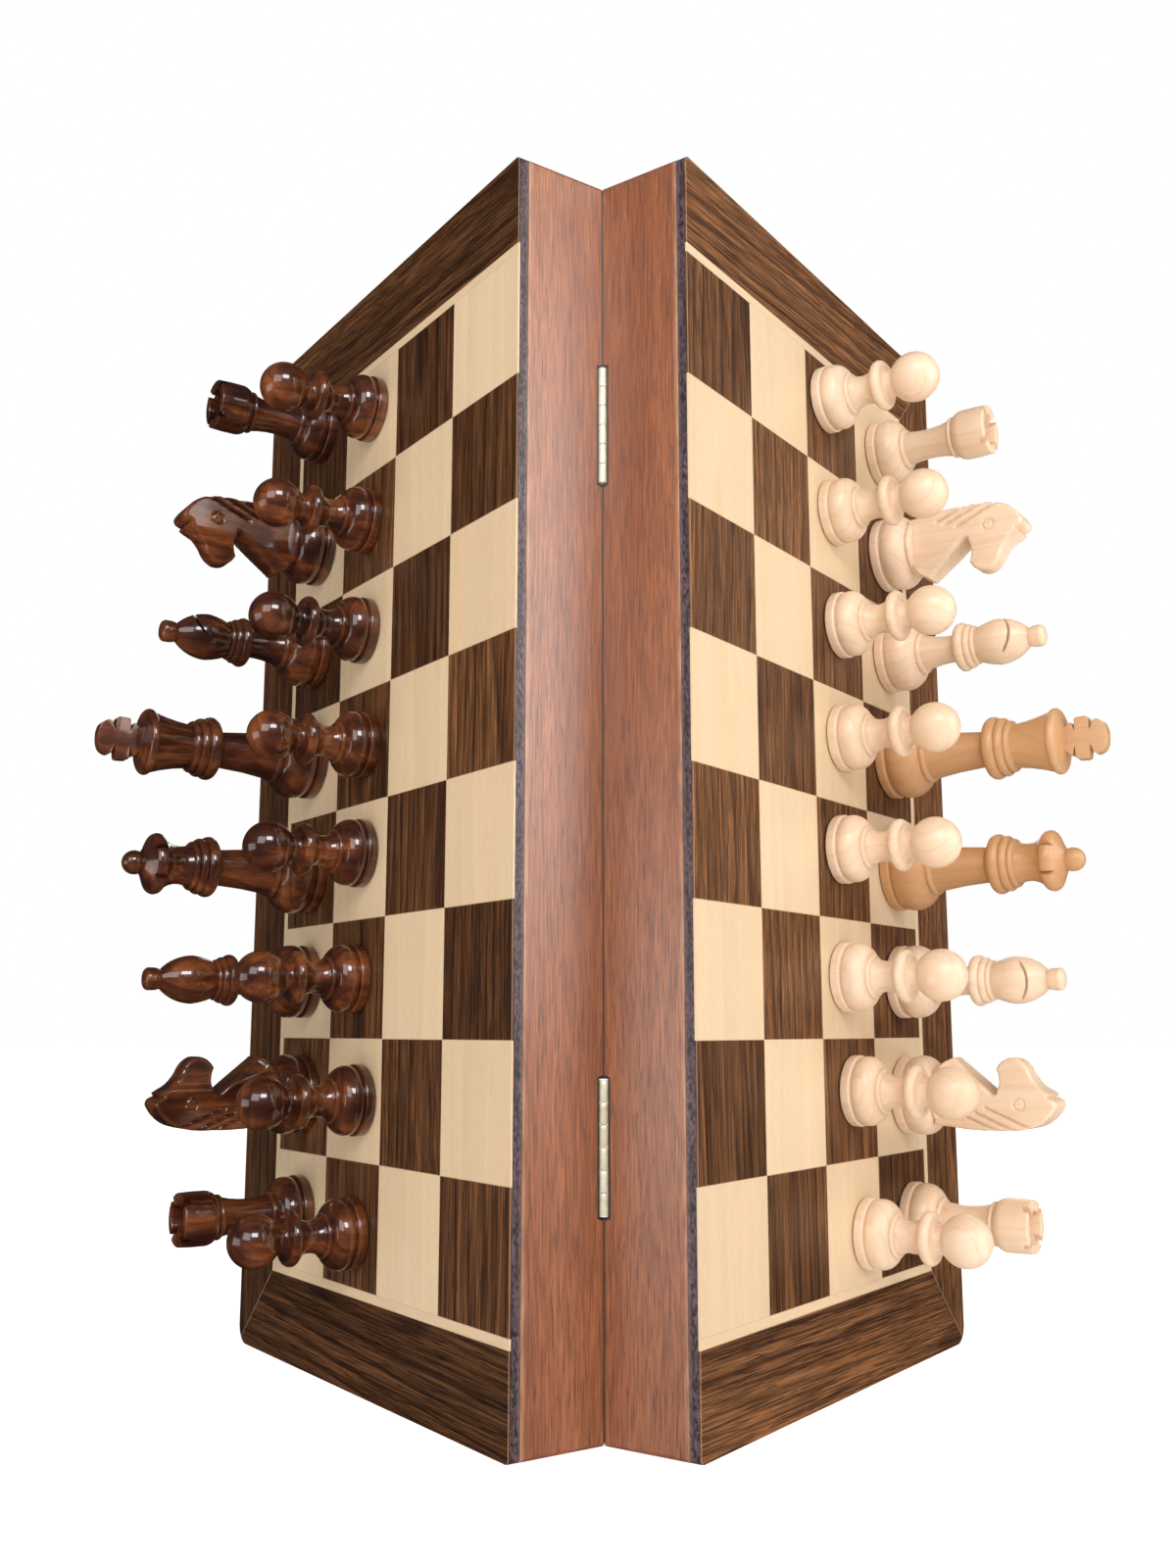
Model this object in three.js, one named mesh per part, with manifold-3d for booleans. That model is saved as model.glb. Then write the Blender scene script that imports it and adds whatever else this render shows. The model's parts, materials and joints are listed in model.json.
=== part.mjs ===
// Folding magnetic chess set, standing on its lower end like a half-open book.
//
// Two shallow wooden boxes are joined by two butt hinges along one edge. The outside of each
// box is half of the chess board; the inside is a felt-lined store for the pieces. At rest the
// boxes are part open, both playing faces look outwards, and magnets hold the pieces on them.
//
// Millimetres, +Z up. The hinge axis is vertical and parallel to Z; x = 0 runs through it.
// Each half has its own frame: local X runs across the board, away from the fold on the light
// pieces' half mirrored, local Y is the outward normal of the playing face, and local Z is up.

import * as THREE from 'three';
import { mergeVertices } from 'three/addons/utils/BufferGeometryUtils.js';
import Module from 'manifold-3d';

const wasm = await Module();
wasm.setup();

// Driving dimensions: board ----------------------------------------------------------------
const BOARD_LENGTH = 381; // along the fold, 15 inches
const HALF_WIDTH = 190.5; // from the fold to the far edge of one half
const HALF_DEPTH = 31.3; // from the open rim to the playing face
const SQUARE = 39.6;
const END_BORDER = (BOARD_LENGTH - 8 * SQUARE) / 2;
const OPENING_ANGLE = 110; // between the two spine walls at rest, 0 when the board lies flat
const FOLD_CLEARANCE = 0.15; // each half stays this far from the planes of the hinge axis
const GAP = 0.3; // between separate pieces that touch

const PANEL_THICKNESS = 3.5;
const WALL_THICKNESS = 9.5;
const STEEL_THICKNESS = 0.5;
const FELT_THICKNESS = 1.2;
const FAR_CORNER_RADIUS = 6.5;
const FOLD_CORNER_RADIUS = 1.5;
const CORNER_SEGMENTS = 4;

// Driving dimensions: hinges and closure magnets --------------------------------------------
const HINGE_LENGTH = 38;
const HINGE_FROM_END = 81; // from the board's end to the middle of the hinge
const KNUCKLES = 6;
const KNUCKLE_RADIUS = 1.4;
const PIN_RADIUS = 0.75;
const PIN_BORE_RADIUS = 0.85;
const LEAF_WIDTH = 8;
const LEAF_THICKNESS = 1;
const BARREL_CLEARANCE = 0.3; // around the barrel, in the leaves and in the walls' grooves
const BARREL_GROOVE_END = 1.6; // groove left open past each end of the barrel
const HINGE_SIDES = 12;

const MAGNET_RADIUS = 3;
const MAGNET_THICKNESS = 2;
const MAGNET_FROM_MIDDLE = 60;
const MAGNET_SIDES = 16;

// Driving dimensions: pieces ----------------------------------------------------------------
const PIECE_SIDES = 10;
const PAWN_FILE = 2.5; // squares from the fold to the middle of the pawns
const BACK_FILE = 3.5;
const BACK_RANK = ['rook', 'knight', 'bishop', 'king', 'queen', 'bishop', 'knight', 'rook'];
const KNIGHT_THICKNESS = 13;
const KNIGHT_FOOT_HEIGHT = 15.5;
const CROSS_THICKNESS = 5;
const MITRE_SLOT_WIDTH = 1.6;
const CRENEL_WIDTH = 2.4;
const CRENEL_DEPTH = 2.2;

// How far each hand-placed piece stands off the middle of its square, in hundredths of a
// square, from the top of the board down: [away from the fold, up].
const PLACING = {
  dark: {
    pawn: [[-5, 9], [0, 5], [0, 4], [-6, 0], [-7, 6], [0, 0], [-14, 0], [-7, -7]],
    back: [[0, 26], [0, 6], [2, 5], [4, 4], [0, -2], [0, 0], [0, 1], [0, 0]],
  },
  light: {
    pawn: [[-14, 14], [-5, 11], [2, 9], [0, 7], [-9, 9], [-8, 1], [5, 7], [22, -10]],
    back: [[2, 1], [5, 1], [6, 1], [4, 4], [7, 1], [8, 0], [13, 0], [17, -7]],
  },
};

const HALVES = [
  { name: 'left', side: 1, army: 'dark' },
  { name: 'right', side: -1, army: 'light' },
];

// Materials -----------------------------------------------------------------------------------
function finish(color, roughness, metalness = 0) {
  return () => new THREE.MeshStandardMaterial({ color, roughness, metalness });
}

const WALL_WOOD = finish(0x8a5138, 0.55);
const VENEER = finish(0x4b3527, 0.5);
const STEEL = finish(0x9a9c9e, 0.4, 1);
const FELT = finish(0x24523a, 1);
const BRASS = finish(0xd8c9a0, 0.3, 1);
const MAGNET = finish(0xb9bcc0, 0.25, 1);
const ARMY_WOOD = { dark: finish(0x4a1f12, 0.2), light: finish(0xdcb98c, 0.5) };

// Solid helpers -------------------------------------------------------------------------------
function toSolid(geometry) {
  const bare = geometry.clone();
  bare.deleteAttribute('normal');
  bare.deleteAttribute('uv');
  const welded = mergeVertices(bare, 1e-4);
  const corners = welded.index.array;
  const triangles = [];
  for (let i = 0; i < corners.length; i += 3) {
    const [a, b, c] = [corners[i], corners[i + 1], corners[i + 2]];
    if (a !== b && b !== c && c !== a) triangles.push(a, b, c);
  }
  return new wasm.Manifold(new wasm.Mesh({
    numProp: 3,
    vertProperties: new Float32Array(welded.attributes.position.array),
    triVerts: new Uint32Array(triangles),
  }));
}

function toGeometry(solid) {
  const { vertProperties, triVerts } = solid.getMesh();
  const geometry = new THREE.BufferGeometry();
  geometry.setAttribute('position', new THREE.BufferAttribute(vertProperties, 3));
  geometry.setIndex(new THREE.BufferAttribute(triVerts, 1));
  return geometry;
}

function cut(geometry, tools) {
  const solid = tools.reduce((rest, tool) => rest.subtract(toSolid(tool)), toSolid(geometry));
  return toGeometry(solid);
}

/** Box between two values on each local axis of a half; x counts away from the fold. */
function block(side, [x0, x1], [y0, y1], [z0, z1]) {
  const box = new THREE.BoxGeometry(x1 - x0, y1 - y0, z1 - z0);
  return box.translate((side * (x0 + x1)) / 2, (y0 + y1) / 2, (z0 + z1) / 2);
}

function uprightCylinder(radius, z0, z1, sides = HINGE_SIDES) {
  const cylinder = new THREE.CylinderGeometry(radius, radius, z1 - z0, sides);
  return cylinder.rotateX(Math.PI / 2).translate(0, 0, (z0 + z1) / 2);
}

/** Plate across a half: rounded at the far corners, slightly eased at the fold's. */
function plate(side, [x0, x1], [y0, y1], roundedFold, roundedFar) {
  const near = roundedFold ? FOLD_CORNER_RADIUS : 0;
  const far = roundedFar ? FAR_CORNER_RADIUS : 0;
  const top = BOARD_LENGTH;
  const outline = new THREE.Shape();
  outline.moveTo(x0 + near, 0).lineTo(x1 - far, 0);
  if (far) outline.absarc(x1 - far, far, far, -Math.PI / 2, 0, false);
  outline.lineTo(x1, top - far);
  if (far) outline.absarc(x1 - far, top - far, far, 0, Math.PI / 2, false);
  outline.lineTo(x0 + near, top);
  if (near) outline.absarc(x0 + near, top - near, near, Math.PI / 2, Math.PI, false);
  outline.lineTo(x0, near);
  if (near) outline.absarc(x0 + near, near, near, Math.PI, Math.PI * 1.5, false);
  const options = { depth: y1 - y0, bevelEnabled: false, curveSegments: CORNER_SEGMENTS };
  const flat = new THREE.ExtrudeGeometry(outline, options);
  flat.rotateX(Math.PI / 2).translate(0, y1, 0);
  return side > 0 ? flat : mirroredX(flat);
}

function mirroredX(geometry) {
  const flipped = geometry.clone().applyMatrix4(new THREE.Matrix4().makeScale(-1, 1, 1));
  const solid = flipped.index ? flipped.toNonIndexed() : flipped;
  const place = solid.attributes.position;
  for (let i = 0; i < place.count; i += 3) {
    const second = new THREE.Vector3().fromBufferAttribute(place, i + 1);
    const third = new THREE.Vector3().fromBufferAttribute(place, i + 2);
    place.setXYZ(i + 1, third.x, third.y, third.z);
    place.setXYZ(i + 2, second.x, second.y, second.z);
  }
  return solid;
}

function part(name, geometry, material) {
  const mesh = new THREE.Mesh(geometry, material());
  mesh.name = name;
  return mesh;
}

// Board half ------------------------------------------------------------------------------------
const PANEL_Y = [HALF_DEPTH - PANEL_THICKNESS, HALF_DEPTH];
const WALL_Y = [FOLD_CLEARANCE, PANEL_Y[0] - GAP];
const STEEL_Y = [PANEL_Y[0] - GAP - STEEL_THICKNESS, PANEL_Y[0] - GAP];
const FELT_Y = [STEEL_Y[0] - GAP - FELT_THICKNESS, STEEL_Y[0] - GAP];
const SPINE_X = [FOLD_CLEARANCE, WALL_THICKNESS];
const OUTER_X = [HALF_WIDTH - WALL_THICKNESS, HALF_WIDTH];
const INSIDE_X = [SPINE_X[1] + GAP, OUTER_X[0] - GAP];
const END_WALL_Z = [
  ['lower', [0, WALL_THICKNESS]],
  ['upper', [BOARD_LENGTH - WALL_THICKNESS, BOARD_LENGTH]],
];
const STORE_Z = [WALL_THICKNESS + GAP, BOARD_LENGTH - WALL_THICKNESS - GAP];
const HINGES = [
  { name: 'lower_hinge', middle: HINGE_FROM_END },
  { name: 'upper_hinge', middle: BOARD_LENGTH - HINGE_FROM_END },
];
const LEAF_Y = [FOLD_CLEARANCE, FOLD_CLEARANCE + LEAF_THICKNESS];
const MAGNET_Y0 = FOLD_CLEARANCE + GAP;

/** Spine wall with a groove for each hinge barrel and a mortise for each hinge leaf. */
function spineWall(side) {
  const tools = HINGES.flatMap(({ middle }) => {
    const half = HINGE_LENGTH / 2;
    const open = half + BARREL_GROOVE_END;
    return [
      uprightCylinder(KNUCKLE_RADIUS + BARREL_CLEARANCE, middle - open, middle + open),
      block(side, [-1, LEAF_WIDTH + GAP], [-1, LEAF_Y[1] + GAP],
        [middle - half - GAP, middle + half + GAP]),
    ];
  });
  return cut(plate(side, SPINE_X, WALL_Y, true, false), tools);
}

/** Disc lying in the rim of the outer wall, facing the other half when the board is shut. */
function rimDisc(side, radius, y0, y1, z) {
  const disc = new THREE.CylinderGeometry(radius, radius, y1 - y0, MAGNET_SIDES);
  return disc.translate(side * (HALF_WIDTH - WALL_THICKNESS / 2), (y0 + y1) / 2, z);
}

const MAGNETS = [
  { name: 'lower_closure_magnet', z: BOARD_LENGTH / 2 - MAGNET_FROM_MIDDLE },
  { name: 'upper_closure_magnet', z: BOARD_LENGTH / 2 + MAGNET_FROM_MIDDLE },
];

function outerWall(side) {
  const floor = MAGNET_Y0 + MAGNET_THICKNESS + GAP;
  const pockets = MAGNETS.map(({ z }) => rimDisc(side, MAGNET_RADIUS + GAP, -1, floor, z));
  return cut(plate(side, OUTER_X, WALL_Y, false, true), pockets);
}

function boardHalf({ name, side }) {
  const half = new THREE.Group();
  const panelX = [FOLD_CLEARANCE, HALF_WIDTH];
  half.add(part(`${name}_playing_panel`, plate(side, panelX, PANEL_Y, true, true), VENEER));
  half.add(part(`${name}_spine_wall`, spineWall(side), WALL_WOOD));
  half.add(part(`${name}_outer_wall`, outerWall(side), WALL_WOOD));
  for (const [end, z] of END_WALL_Z) {
    const wall = block(side, INSIDE_X, WALL_Y, z);
    half.add(part(`${name}_${end}_end_wall`, wall, WALL_WOOD));
  }
  const steel = block(side, INSIDE_X, STEEL_Y, STORE_Z);
  half.add(part(`${name}_steel_sheet`, steel, STEEL));
  const felt = block(side, INSIDE_X, FELT_Y, STORE_Z);
  half.add(part(`${name}_felt_lining`, felt, FELT));
  for (const magnet of MAGNETS) {
    const disc = rimDisc(side, MAGNET_RADIUS, MAGNET_Y0, MAGNET_Y0 + MAGNET_THICKNESS, magnet.z);
    half.add(part(`${name}_${magnet.name}`, disc, MAGNET));
  }
  return half;
}

// Hinges ------------------------------------------------------------------------------------------
/** Span of one knuckle; the leaves take the knuckles in turn. */
function knuckleSpan(middle, index) {
  const pitch = HINGE_LENGTH / KNUCKLES;
  const low = middle - HINGE_LENGTH / 2 + index * pitch;
  return [low, low + pitch];
}

/** Hinge leaf: a plate in the rim's mortise with every second knuckle of the barrel. */
function hingeLeaf(side, middle) {
  const half = HINGE_LENGTH / 2;
  const own = side > 0 ? 0 : 1;
  let leaf = toSolid(block(side, [0.4, LEAF_WIDTH], LEAF_Y, [middle - half, middle + half]));
  for (let index = 0; index < KNUCKLES; index += 1) {
    const [z0, z1] = knuckleSpan(middle, index);
    if (index % 2 === own) {
      leaf = leaf.add(toSolid(uprightCylinder(KNUCKLE_RADIUS, z0 + GAP / 2, z1 - GAP / 2)));
    }
  }
  for (let index = 0; index < KNUCKLES; index += 1) {
    const [z0, z1] = knuckleSpan(middle, index);
    if (index % 2 !== own) {
      const room = uprightCylinder(KNUCKLE_RADIUS + BARREL_CLEARANCE, z0 - GAP / 2, z1 + GAP / 2);
      leaf = leaf.subtract(toSolid(room));
    }
  }
  const bore = uprightCylinder(PIN_BORE_RADIUS, middle - half - 1, middle + half + 1);
  return toGeometry(leaf.subtract(toSolid(bore)));
}

function hingePin(middle) {
  const half = HINGE_LENGTH / 2;
  return uprightCylinder(PIN_RADIUS, middle - half, middle + half);
}

// Chess pieces: turned profiles as [radius, height] from the foot to the tip ------------------------
/** Foot of every piece: a disc, a groove, and a bell that closes to a bead under the stem. */
function foot(radius, shoulder, stem) {
  return [
    [0, 0], [radius, 0], [radius, 2.8], [radius * 0.94, 3.7], [radius * 0.98, 5.5],
    [radius * 0.86, shoulder * 0.82], [stem + 2, shoulder], [stem + 1.5, shoulder + 1.2],
  ];
}

function ball(middle, radius, from) {
  const points = [];
  for (let angle = from; angle <= 90; angle += (90 - from) / 4) {
    const turn = THREE.MathUtils.degToRad(angle);
    points.push([radius * Math.cos(turn), middle + radius * Math.sin(turn)]);
  }
  points[points.length - 1][0] = 0;
  return points;
}

const PROFILES = {
  pawn: [...foot(11.6, 10.2, 5), [4.9, 14], [5.2, 18], [8.7, 21], [8.7, 23.2], [4.6, 25.2],
    ...ball(33.8, 8.4, -54)],
  rook: [...foot(12.3, 11, 5.5), [5.4, 17], [5.6, 27], [8.2, 31.5], [9, 39], [8.8, 43.6],
    [5.6, 43.6], [5.2, 38], [0, 38]],
  bishop: [...foot(12.8, 13.4, 5.6), [4.8, 25], [9, 30], [6.6, 35.6], [8.2, 42], [7.6, 46.5],
    [3.7, 53], [3.8, 56.8], [0, 59.4]],
  queen: [...foot(14.5, 14.6, 8), [6.2, 34.6], [10.7, 39.8], [8.4, 44.2], [6.7, 49],
    [10.4, 57.2], [4, 62.2], [4.3, 64.6], [0, 68]],
  king: [...foot(14.3, 15, 8.2), [6.3, 35.6], [11.3, 41], [8.4, 47], [7.7, 49.5], [11.4, 61.2],
    [10.4, 62.6], [4, 65.2], [0, 65.2]],
  knight: [...foot(13.5, 13, 8.6), [10.6, KNIGHT_FOOT_HEIGHT], [0, KNIGHT_FOOT_HEIGHT]],
};

function turned(kind) {
  const points = PROFILES[kind].map(([radius, height]) => new THREE.Vector2(radius, height));
  return new THREE.LatheGeometry(points, PIECE_SIDES);
}

/** Rook: two crossing slots leave four merlons around the top. */
function rook() {
  const span = 24;
  const height = 43.6 - CRENEL_DEPTH / 2 + 0.5;
  const slot = new THREE.BoxGeometry(span, CRENEL_DEPTH + 1, CRENEL_WIDTH).translate(0, height, 0);
  return cut(turned('rook'), [slot, slot.clone().rotateY(Math.PI / 2)]);
}

/** Bishop: a slanting slot in one side of the mitre. */
function bishop() {
  const slot = new THREE.BoxGeometry(14, MITRE_SLOT_WIDTH, 20);
  slot.rotateZ(THREE.MathUtils.degToRad(52)).translate(8.6, 50.5, 0);
  return cut(turned('bishop'), [slot]);
}

/** King: a flat cross with flared arms stands on the crown. */
function king() {
  const arm = [[0, 64.6], [2.6, 64.6], [3, 69.4], [6.9, 68.6], [6.9, 74.6], [3, 73.6],
    [3.9, 78.5], [0, 78.5]];
  const other = arm.slice(1, -1).reverse().map(([x, y]) => [-x, y]);
  const outline = [...arm.slice(1, -1), ...other].map(([x, y]) => new THREE.Vector2(x, y));
  const options = { depth: CROSS_THICKNESS, bevelEnabled: false };
  const cross = new THREE.ExtrudeGeometry(new THREE.Shape(outline), options);
  cross.translate(0, 0, -CROSS_THICKNESS / 2);
  return toGeometry(toSolid(turned('king')).add(toSolid(cross)));
}

/** Knight: a horse's head sawn from a slab, looking along +X, on a turned foot. */
function knight() {
  const head = new THREE.Shape();
  head.moveTo(-10.4, KNIGHT_FOOT_HEIGHT - 2).lineTo(8.6, KNIGHT_FOOT_HEIGHT - 2);
  head.quadraticCurveTo(12.6, 17.6, 13.2, 22).lineTo(0.6, 34).quadraticCurveTo(5, 36.4, 10, 34.4);
  head.quadraticCurveTo(14, 36.6, 13.4, 42).quadraticCurveTo(11.6, 46, 8, 46.6);
  head.lineTo(2, 53).lineTo(-1.6, 56.2).quadraticCurveTo(-7, 55, -11, 47);
  head.quadraticCurveTo(-14.4, 40, -13.2, 30).lineTo(-12, 18).closePath();
  const options = { depth: KNIGHT_THICKNESS, bevelEnabled: false, curveSegments: 3 };
  const slab = new THREE.ExtrudeGeometry(head, options).translate(0, 0, -KNIGHT_THICKNESS / 2);
  return toGeometry(toSolid(turned('knight')).add(toSolid(slab)));
}

const SHAPES = {
  pawn: turned('pawn'),
  rook: rook(),
  knight: knight(),
  bishop: bishop(),
  queen: turned('queen'),
  king: king(),
};

/** Places a piece on the playing face: file from the fold, row from the top of the board. */
function placed(half, name, kind, file, row, [away, up]) {
  const piece = part(name, SHAPES[kind].clone(), ARMY_WOOD[half.army]);
  const x = (file + away / 100) * SQUARE;
  const z = BOARD_LENGTH - END_BORDER - (row + 0.5 - up / 100) * SQUARE;
  piece.position.set(half.side * x, HALF_DEPTH + GAP, z);
  const towardsMiddle = row < 4 ? 1 : -1;
  piece.rotation.y = (towardsMiddle * Math.PI) / 2;
  return piece;
}

function armyOn(half) {
  const pieces = new THREE.Group();
  const placing = PLACING[half.army];
  placing.pawn.forEach((offset, row) => {
    pieces.add(placed(half, `${half.army}_pawn_${row + 1}`, 'pawn', PAWN_FILE, row, offset));
  });
  placing.back.forEach((offset, row) => {
    const kind = BACK_RANK[row];
    const single = BACK_RANK.indexOf(kind) === BACK_RANK.lastIndexOf(kind);
    const name = single ? kind : `${kind}_${row < 4 ? 1 : 2}`;
    pieces.add(placed(half, `${half.army}_${name}`, kind, BACK_FILE, row, offset));
  });
  return pieces;
}

// Assembly ------------------------------------------------------------------------------------------
/** Puts the middle of the box around the half-open board at y = 0. */
function hingeY() {
  const half = THREE.MathUtils.degToRad(OPENING_ANGLE / 2);
  const front = FOLD_CLEARANCE * Math.sin(half) - HALF_DEPTH * Math.cos(half);
  const back = HALF_WIDTH * Math.sin(half) - FOLD_CLEARANCE * Math.cos(half);
  return -(front + back) / 2;
}

const chessSet = new THREE.Group();
const fold = new THREE.Group();
fold.position.y = hingeY();
chessSet.add(fold);

for (const half of HALVES) {
  const frame = new THREE.Group();
  frame.rotation.z = Math.PI - half.side * THREE.MathUtils.degToRad(OPENING_ANGLE / 2);
  frame.add(boardHalf(half), armyOn(half));
  for (const hinge of HINGES) {
    const leaf = hingeLeaf(half.side, hinge.middle);
    frame.add(part(`${hinge.name}_${half.name}_leaf`, leaf, BRASS));
  }
  fold.add(frame);
}
for (const hinge of HINGES) {
  fold.add(part(`${hinge.name}_pin`, hingePin(hinge.middle), BRASS));
}

export default chessSet;
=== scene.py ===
"""Folding magnetic chess set, half open and standing on its lower end, with all its pieces on it.

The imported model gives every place: the two halves' frames come from the joints, and the sizes
of panels, walls, hinges and magnets are read from the nodes. Shapes are built in millimetres in
a half's own frame (x away from the fold, y out of the playing face, z up) or in a chess piece's
own frame (z from the foot to the tip), then set into the row frame in metres.
"""

import json
import math
import random
from functools import cached_property

import bmesh
import bpy
import numpy as np
from mathutils import Matrix, Vector
from mathutils.geometry import delaunay_2d_cdt

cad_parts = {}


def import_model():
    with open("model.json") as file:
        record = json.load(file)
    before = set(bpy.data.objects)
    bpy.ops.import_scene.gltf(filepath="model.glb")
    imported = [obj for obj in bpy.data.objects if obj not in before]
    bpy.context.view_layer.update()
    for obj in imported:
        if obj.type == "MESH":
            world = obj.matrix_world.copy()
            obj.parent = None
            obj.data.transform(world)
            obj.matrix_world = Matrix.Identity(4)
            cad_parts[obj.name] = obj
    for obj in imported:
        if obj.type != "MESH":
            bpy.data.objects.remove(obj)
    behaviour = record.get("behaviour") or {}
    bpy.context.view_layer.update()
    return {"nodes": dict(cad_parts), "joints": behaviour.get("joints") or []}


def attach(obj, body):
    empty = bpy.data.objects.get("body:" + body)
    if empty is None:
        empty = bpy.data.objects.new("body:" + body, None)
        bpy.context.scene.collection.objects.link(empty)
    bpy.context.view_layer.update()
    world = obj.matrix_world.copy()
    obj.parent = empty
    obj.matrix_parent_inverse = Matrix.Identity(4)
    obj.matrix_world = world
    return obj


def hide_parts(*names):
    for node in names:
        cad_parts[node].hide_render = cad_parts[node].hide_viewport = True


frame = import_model()

MM = 0.001
NODES = frame["nodes"]
JOINTS = {joint["name"]: joint for joint in frame["joints"]}
RANDOM = random.Random(64)

# Board, millimetres
SQUARE = 39.6
STRINGING = 3.0
VENEER = 0.6
FAR_CORNER = 6.5
FOLD_CORNER = 1.5
WALL_EASE = 0.5
SEAM_EASE = 0.07
HIDDEN_EASE = 0.15
LAP = 0.1
TUCK = 0.2
FIT = 0.15
GROOVE_RADIUS = 1.6
HINGES = ("lower_hinge", "upper_hinge")
WEAR_WIDTH = 1.6
ARC_STEP = math.radians(6)

# Wood: how far apart runs are cut, and each half's walnut against the mean tone
RUN_LENGTH = 4000
# Painted shade and light: the left half's walnut darker, the right half's lighter, for the
# stronger light on the right half
WALNUT_PAINTED_LIGHT = {"left": -0.22, "right": 0.25}

# Painted shade along the fold where the halves meet, wider beside the hinge barrels, millimetres
FOLD_SEAM = 0.004
FOLD_SHADOW = 0.34
BARREL_SHADOW = 2.3
FOLD_REACH = 10.0
HINGE_RISE = 109.5
HINGE_REACH = 20.3

# Chess pieces
SIDES = 96
SMOOTH_BELOW = 38
PAD_SPAN = (-0.27, 0.02)
PAD_INSET = 0.7
BACK_RANK = ["rook", "knight", "bishop", "king", "queen", "bishop", "knight", "rook"]


# Outlines and profiles ----------------------------------------
def arc_between(start, end, bend):
    """Points after start up to end; bend is the arc's angle in degrees, bulging to the right."""
    if not bend:
        return [end]
    turn = math.radians(bend)
    chord = Vector(end) - Vector(start)
    middle = (Vector(start) + Vector(end)) / 2
    inward = Vector((-chord.y, chord.x)) / (2 * math.tan(turn / 2))
    centre = middle + inward
    first = Vector(start) - centre
    steps = max(2, math.ceil(abs(turn) / ARC_STEP))
    points = []
    for step in range(1, steps + 1):
        angle = turn * step / steps
        cosine, sine = math.cos(angle), math.sin(angle)
        x = centre.x + first.x * cosine - first.y * sine
        y = centre.y + first.x * sine + first.y * cosine
        points.append((x, y))
    points[-1] = tuple(end)
    return points


def stroke(corners):
    """Polyline through (a, b) or (a, b, bend) corners, with arcs where a bend is given."""
    points = [tuple(corners[0][:2])]
    for corner in corners[1:]:
        bend = corner[2] if len(corner) > 2 else 0
        points += arc_between(points[-1], tuple(corner[:2]), bend)
    return points


def rounded(corners):
    """Closed outline from (a, b, radius) corners listed anticlockwise."""
    points = []
    count = len(corners)
    for index, (a, b, radius) in enumerate(corners):
        here = Vector((a, b))
        if not radius:
            points.append((a, b))
            continue
        back = (Vector(corners[index - 1][:2]) - here).normalized()
        ahead = (Vector(corners[(index + 1) % count][:2]) - here).normalized()
        opening = back.angle(ahead)
        reach = radius / math.tan(opening / 2)
        start, end = here + back * reach, here + ahead * reach
        bend = math.degrees(math.pi - opening)
        points += [tuple(start)] + arc_between(tuple(start), tuple(end), bend)
    return points


def inset(outline, distance):
    """A convex anticlockwise outline moved inwards by a distance."""
    if not distance:
        return list(outline)
    points = []
    count = len(outline)
    for index in range(count):
        here = Vector(outline[index])
        ahead = (Vector(outline[(index + 1) % count]) - here).normalized()
        back = (here - Vector(outline[index - 1])).normalized()
        left_ahead, left_back = Vector((-ahead.y, ahead.x)), Vector((-back.y, back.x))
        both = left_ahead + left_back
        points.append(tuple(here + both * (2 * distance / both.length_squared)))
    return points


# Solids ----------------------------------------
def formed(shape):
    """Mesh of a closed shape: its points, its faces and, when given, each point's wear."""
    points, faces, *rest = shape
    made = bpy.data.meshes.new("solid")
    made.from_pydata([tuple(point) for point in points], [], faces)
    made.validate()
    outward(made)
    wear = made.attributes.new("wear", "FLOAT", "POINT")
    wear.data.foreach_set("value", np.array(rest[0] if rest else [0.0] * len(points), np.float32))
    return made


def outward(mesh):
    """Turns a closed mesh's faces to point out."""
    work = bmesh.new()
    work.from_mesh(mesh)
    bmesh.ops.recalc_face_normals(work, faces=work.faces)
    work.to_mesh(mesh)
    work.free()


def band(lower, upper):
    """Quads between two closed rings of point numbers."""
    count = len(lower)
    return [[lower[side], lower[(side + 1) % count], upper[(side + 1) % count], upper[side]]
            for side in range(count)]


def prism(outline, low, high, place, ease_low=0.0, ease_high=0.0, ease_steps=3):
    """Solid between two planes over an anticlockwise outline, with eased edges at its ends.

    place turns (a, b, level) into a point. Rings a little way in from each worn edge keep the
    wear near that edge.
    """
    reach = min(WEAR_WIDTH, (high - low) * 0.4)
    rings = [(reach, low, 0.0)] if ease_low else []
    for step in range(ease_steps + 1 if ease_low else 1):
        angle = math.pi / 2 * step / ease_steps
        rings.append((ease_low * (1 - math.sin(angle)), low + ease_low * (1 - math.cos(angle)),
                      1.0 if ease_low else 0.0))
    if ease_low:
        rings.append((0.0, low + reach, 0.0))
    if ease_high:
        rings.append((0.0, high - reach, 0.0))
    for step in range(ease_steps + 1 if ease_high else 1):
        angle = math.pi / 2 * step / ease_steps
        rings.append((ease_high * (1 - math.cos(angle)), high - ease_high * (1 - math.sin(angle)),
                      1.0 if ease_high else 0.0))
    if ease_high:
        rings.append((reach, high, 0.0))
    points, wear = [], []
    for distance, level, exposed in rings:
        points += [place(a, b, level) for a, b in inset(outline, distance)]
        wear += [exposed] * len(outline)
    count = len(outline)
    loops = [list(range(ring * count, (ring + 1) * count)) for ring in range(len(rings))]
    faces = []
    for lower, upper in zip(loops, loops[1:]):
        faces += band(lower, upper)
    faces += [loops[0][::-1], loops[-1]]
    return points, faces, wear


def plain_prism(outline, low, high, place):
    """Solid between two planes over any simple outline, without easing."""
    count = len(outline)
    lower, upper = list(range(count)), list(range(count, 2 * count))
    points = [place(a, b, level) for level in (low, high) for a, b in outline]
    return points, [lower[::-1], upper] + band(lower, upper)


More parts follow.
